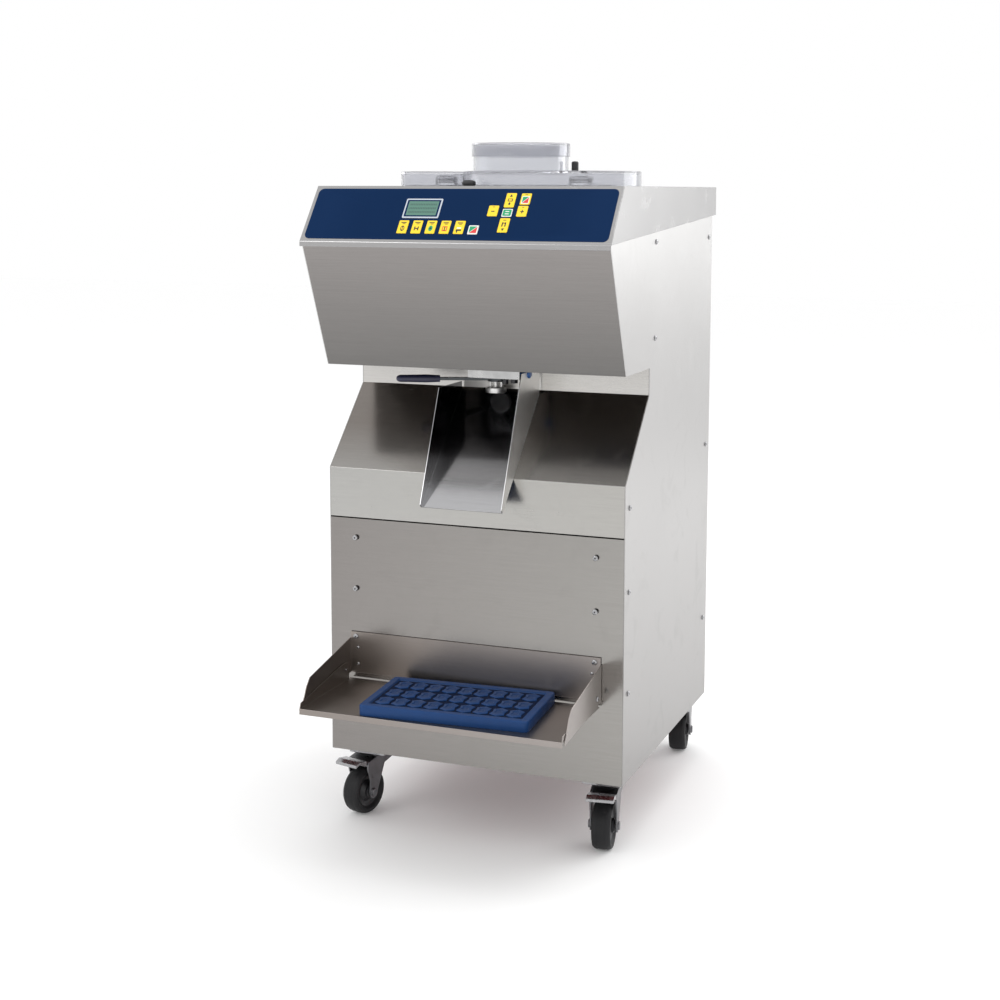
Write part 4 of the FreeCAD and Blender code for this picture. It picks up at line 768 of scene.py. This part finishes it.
def lever_grip():
    """Moulded handle with a rounded end and a shallow waist."""
    pivot = Vector(JOINTS["gate_turn"]["pos_m"])
    away = middle("lever_grip") - pivot
    away.z = 0
    away.normalize()
    level = middle("lever_grip").z
    reach = [(v.co - pivot).dot(away) for v in NODES["lever_grip"].data.vertices]
    start, end = min(reach), max(reach)
    profile = [(0, start), (5.2 * MM, start), (5.9 * MM, start + 1.0 * MM), (6.0 * MM, start + 6 * MM)]
    length = end - start
    for number in range(13):
        part = number / 12
        radius = 6.2 + 0.8 * math.sin(math.pi * min(1, part * 1.25)) - 0.4 * math.sin(math.pi * part) ** 6
        profile.append((radius * MM, start + (0.12 + 0.74 * part) * length))
    for number in range(1, 7):
        turn = math.pi / 2 * number / 6
        profile.append((6.2 * MM * math.cos(turn), end - 8 * MM + 8 * MM * math.sin(turn)))
    shape = lathe(profile, 48)
    place = along(away, Vector((pivot.x, pivot.y, level)))
    to_object("grip", shape, GRIP_NAVY, "gate_lever", "lever_grip", matrix=place)


def outlet_fittings():
    """Black hexagon nuts under the block and the blue fitting at its right end."""
    low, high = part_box("outlet_block")
    shape = bmesh.new()
    for x, y, radius, height in ((high[0] - 14 * MM, low[1] + 12 * MM, 6.5 * MM, 7 * MM),
                                 (high[0] - 30 * MM, low[1] + 14 * MM, 5.0 * MM, 9 * MM)):
        slab(disc(radius, x, y, 6), low[2] - height, low[2], shape)
    to_object("outlet_nuts", shape, BLACK, "cabinet", bevel=0.5 * MM)
    corners = [(0, 0), (6.2, 0), (7.5, 1.5), (7.5, 11), (5, 13), (0, 13)]
    profile = [(radius * MM, height * MM) for radius, height in corners]
    place = along((1, 0, 0), (high[0], low[1] + 18 * MM, low[2] + 9 * MM))
    to_object("outlet_fitting", lathe(profile, 32), BLUE_FITTING, "cabinet", matrix=place)


# --- Lids ---------------------------------------------------------------------------------------------


def lids():
    """Clear lids and cap with their hinges, plug, latch and sealing rings."""
    softened("large_lid", CLEAR, 0.8 * MM, 3, 35)
    softened("small_lid", CLEAR, 0.8 * MM, 3, 35)
    softened("filling_cap", CLEAR, 0.8 * MM, 3, 35)
    softened("lid_plug", BLACK, 0.5 * MM)
    softened("latch_knob", BLACK, 0.6 * MM)
    softened("lid_hinges", STEEL_PART, 0.5 * MM)
    for node, radius in (("freezing_cylinder", 150 * MM), ("mix_tank", 54.5 * MM)):
        lid_seal(node, radius)


def lid_seal(node, radius):
    """Grey sealing ring that lies on the worktop under a lid's rim."""
    centre = middle(node)
    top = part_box("top_cover")[1][2]
    low, high = top + 0.02 * MM, top + 0.26 * MM
    profile = [(radius - 3 * MM, low), (radius, low), (radius, high), (radius - 3 * MM, high)]
    place = Matrix.Translation((centre.x, centre.y, 0))
    to_object(node + "_seal", closed_lathe(profile, 96), SEAL, "cabinet", matrix=place)


# --- Castors ------------------------------------------------------------------------------------------


def castors():
    """Plates and forks in zinc, two brake pedals and four wheels."""
    softened("castor_plates", ZINC, 0.6 * MM)
    for node in NODES:
        if node.startswith("fork_"):
            softened(node, ZINC_DULL, 0.7 * MM)
        if node.startswith("brake_pedal_"):
            softened(node, ZINC, 0.8 * MM)
        if node.startswith("wheel_"):
            wheel(node)


WHEEL_HALF = 16 * MM


def wheel(node):
    """Tyre with rounded shoulders and two fine grooves, on a dished plastic hub."""
    roll = JOINTS[node.replace("wheel", "roll")]
    place = along(roll["axis"], roll["pos_m"])
    body = node_body(node)
    radius, half = roll["pos_m"][2], WHEEL_HALF
    tread = []
    for number in range(15):
        part = -1 + 2 * number / 14
        fall = abs(part) ** 5 * 3.2 * MM
        groove = 0.5 * MM if number in (4, 10) else 0
        tread.append((radius - fall - groove, part * (half - 0.6 * MM)))
    side = [(radius - 6 * MM, half), (radius - 9 * MM, half - 0.9 * MM), (radius - 12 * MM, 11.4 * MM)]
    profile = tread + side + [(26.6 * MM, 10.8 * MM), (26.6 * MM, -10.8 * MM)]
    profile += [(r, -h) for r, h in reversed(side)]
    to_object(node + "_tyre", closed_lathe(profile, 96), TYRE, body, node, matrix=place)
    face = [
        (4.1, 18.4), (8.5, 18.4), (9.6, 17.6), (11.8, 16.6), (12.0, 13.2), (14, 11.6),
        (19, 8.0), (23, 8.6), (26.7, 11.2),
    ]
    hub = [(r * MM, h * MM) for r, h in face]
    hub += [(r * MM, -h * MM) for r, h in reversed(face)]
    to_object(node + "_hub", closed_lathe(hub, 64), BLACK, body, matrix=place)


# --- Inside -------------------------------------------------------------------------------------------


def inside():
    """Parts behind the panels, seen through the lids and the air slots, keep their CAD shapes."""
    looks = {
        "freezing_cylinder": STEEL_PART,
        "mix_tank": STEEL_PART,
        "evaporator_jacket": FOAM,
        "dasher": STEEL_PART,
        "scraper_blades": WHITE,
        "drive_shaft": STEEL_PART,
        "gear_motor": CAST,
        "compressor": CAST,
        "condenser": ALUMINIUM,
        "condenser_fan": GREY,
        "electrical_box": GREY,
    }
    for node, material in looks.items():
        softened(node, material, 0.5 * MM, 2, 40)


# --- Studio -------------------------------------------------------------------------------------------


def area_light(name, position, target, size, power):
    """Square soft light that points at a target and isn't seen by the camera."""
    data = bpy.data.lights.new(name, "AREA")
    data.shape = "RECTANGLE"
    data.size = size
    data.size_y = size
    data.energy = power
    light = bpy.data.objects.new(name, data)
    bpy.context.scene.collection.objects.link(light)
    light.location = position
    light.rotation_euler = (Vector(target) - Vector(position)).to_track_quat("-Z", "Y").to_euler()
    light.visible_camera = False


def studio():
    """Pale floor, white surroundings and three soft lights."""
    shape = bmesh.new()
    bmesh.ops.create_grid(shape, x_segments=1, y_segments=1, size=14)
    mesh = bpy.data.meshes.new("studio_floor")
    shape.to_mesh(mesh)
    shape.free()
    floor = bpy.data.objects.new("studio_floor", mesh)
    bpy.context.scene.collection.objects.link(floor)
    white = (1, 1, 1, 1)
    pale = Shader(
        "floor_pale", Base_Color=(0.90, 0.90, 0.90, 1), Roughness=0.9,
        Emission_Color=white, Emission_Strength=0.09)
    mesh.materials.append(pale.material)
    world = bpy.data.worlds.new("studio")
    world.use_nodes = True
    background = next(n for n in world.node_tree.nodes if n.type == "BACKGROUND")
    background.inputs["Color"].default_value = white
    background.inputs["Strength"].default_value = 1.0
    bpy.context.scene.world = world
    bpy.context.scene.view_settings.view_transform = "Standard"
    area_light("key", (-2.2, -3.2, 3.2), (0, 0, 0.7), 1.8, 30)
    area_light("side_softbox", (2.6, 2.9, 1.9), (0.2, 0, 0.8), 2.4, 45)
    area_light("overhead", (0.4, 0.4, 3.4), (0, 0, 0), 2.2, 30)


add_camera()
studio()
cabinet()
keypad()
shelf()
outlet()
lids()
castors()
inside()
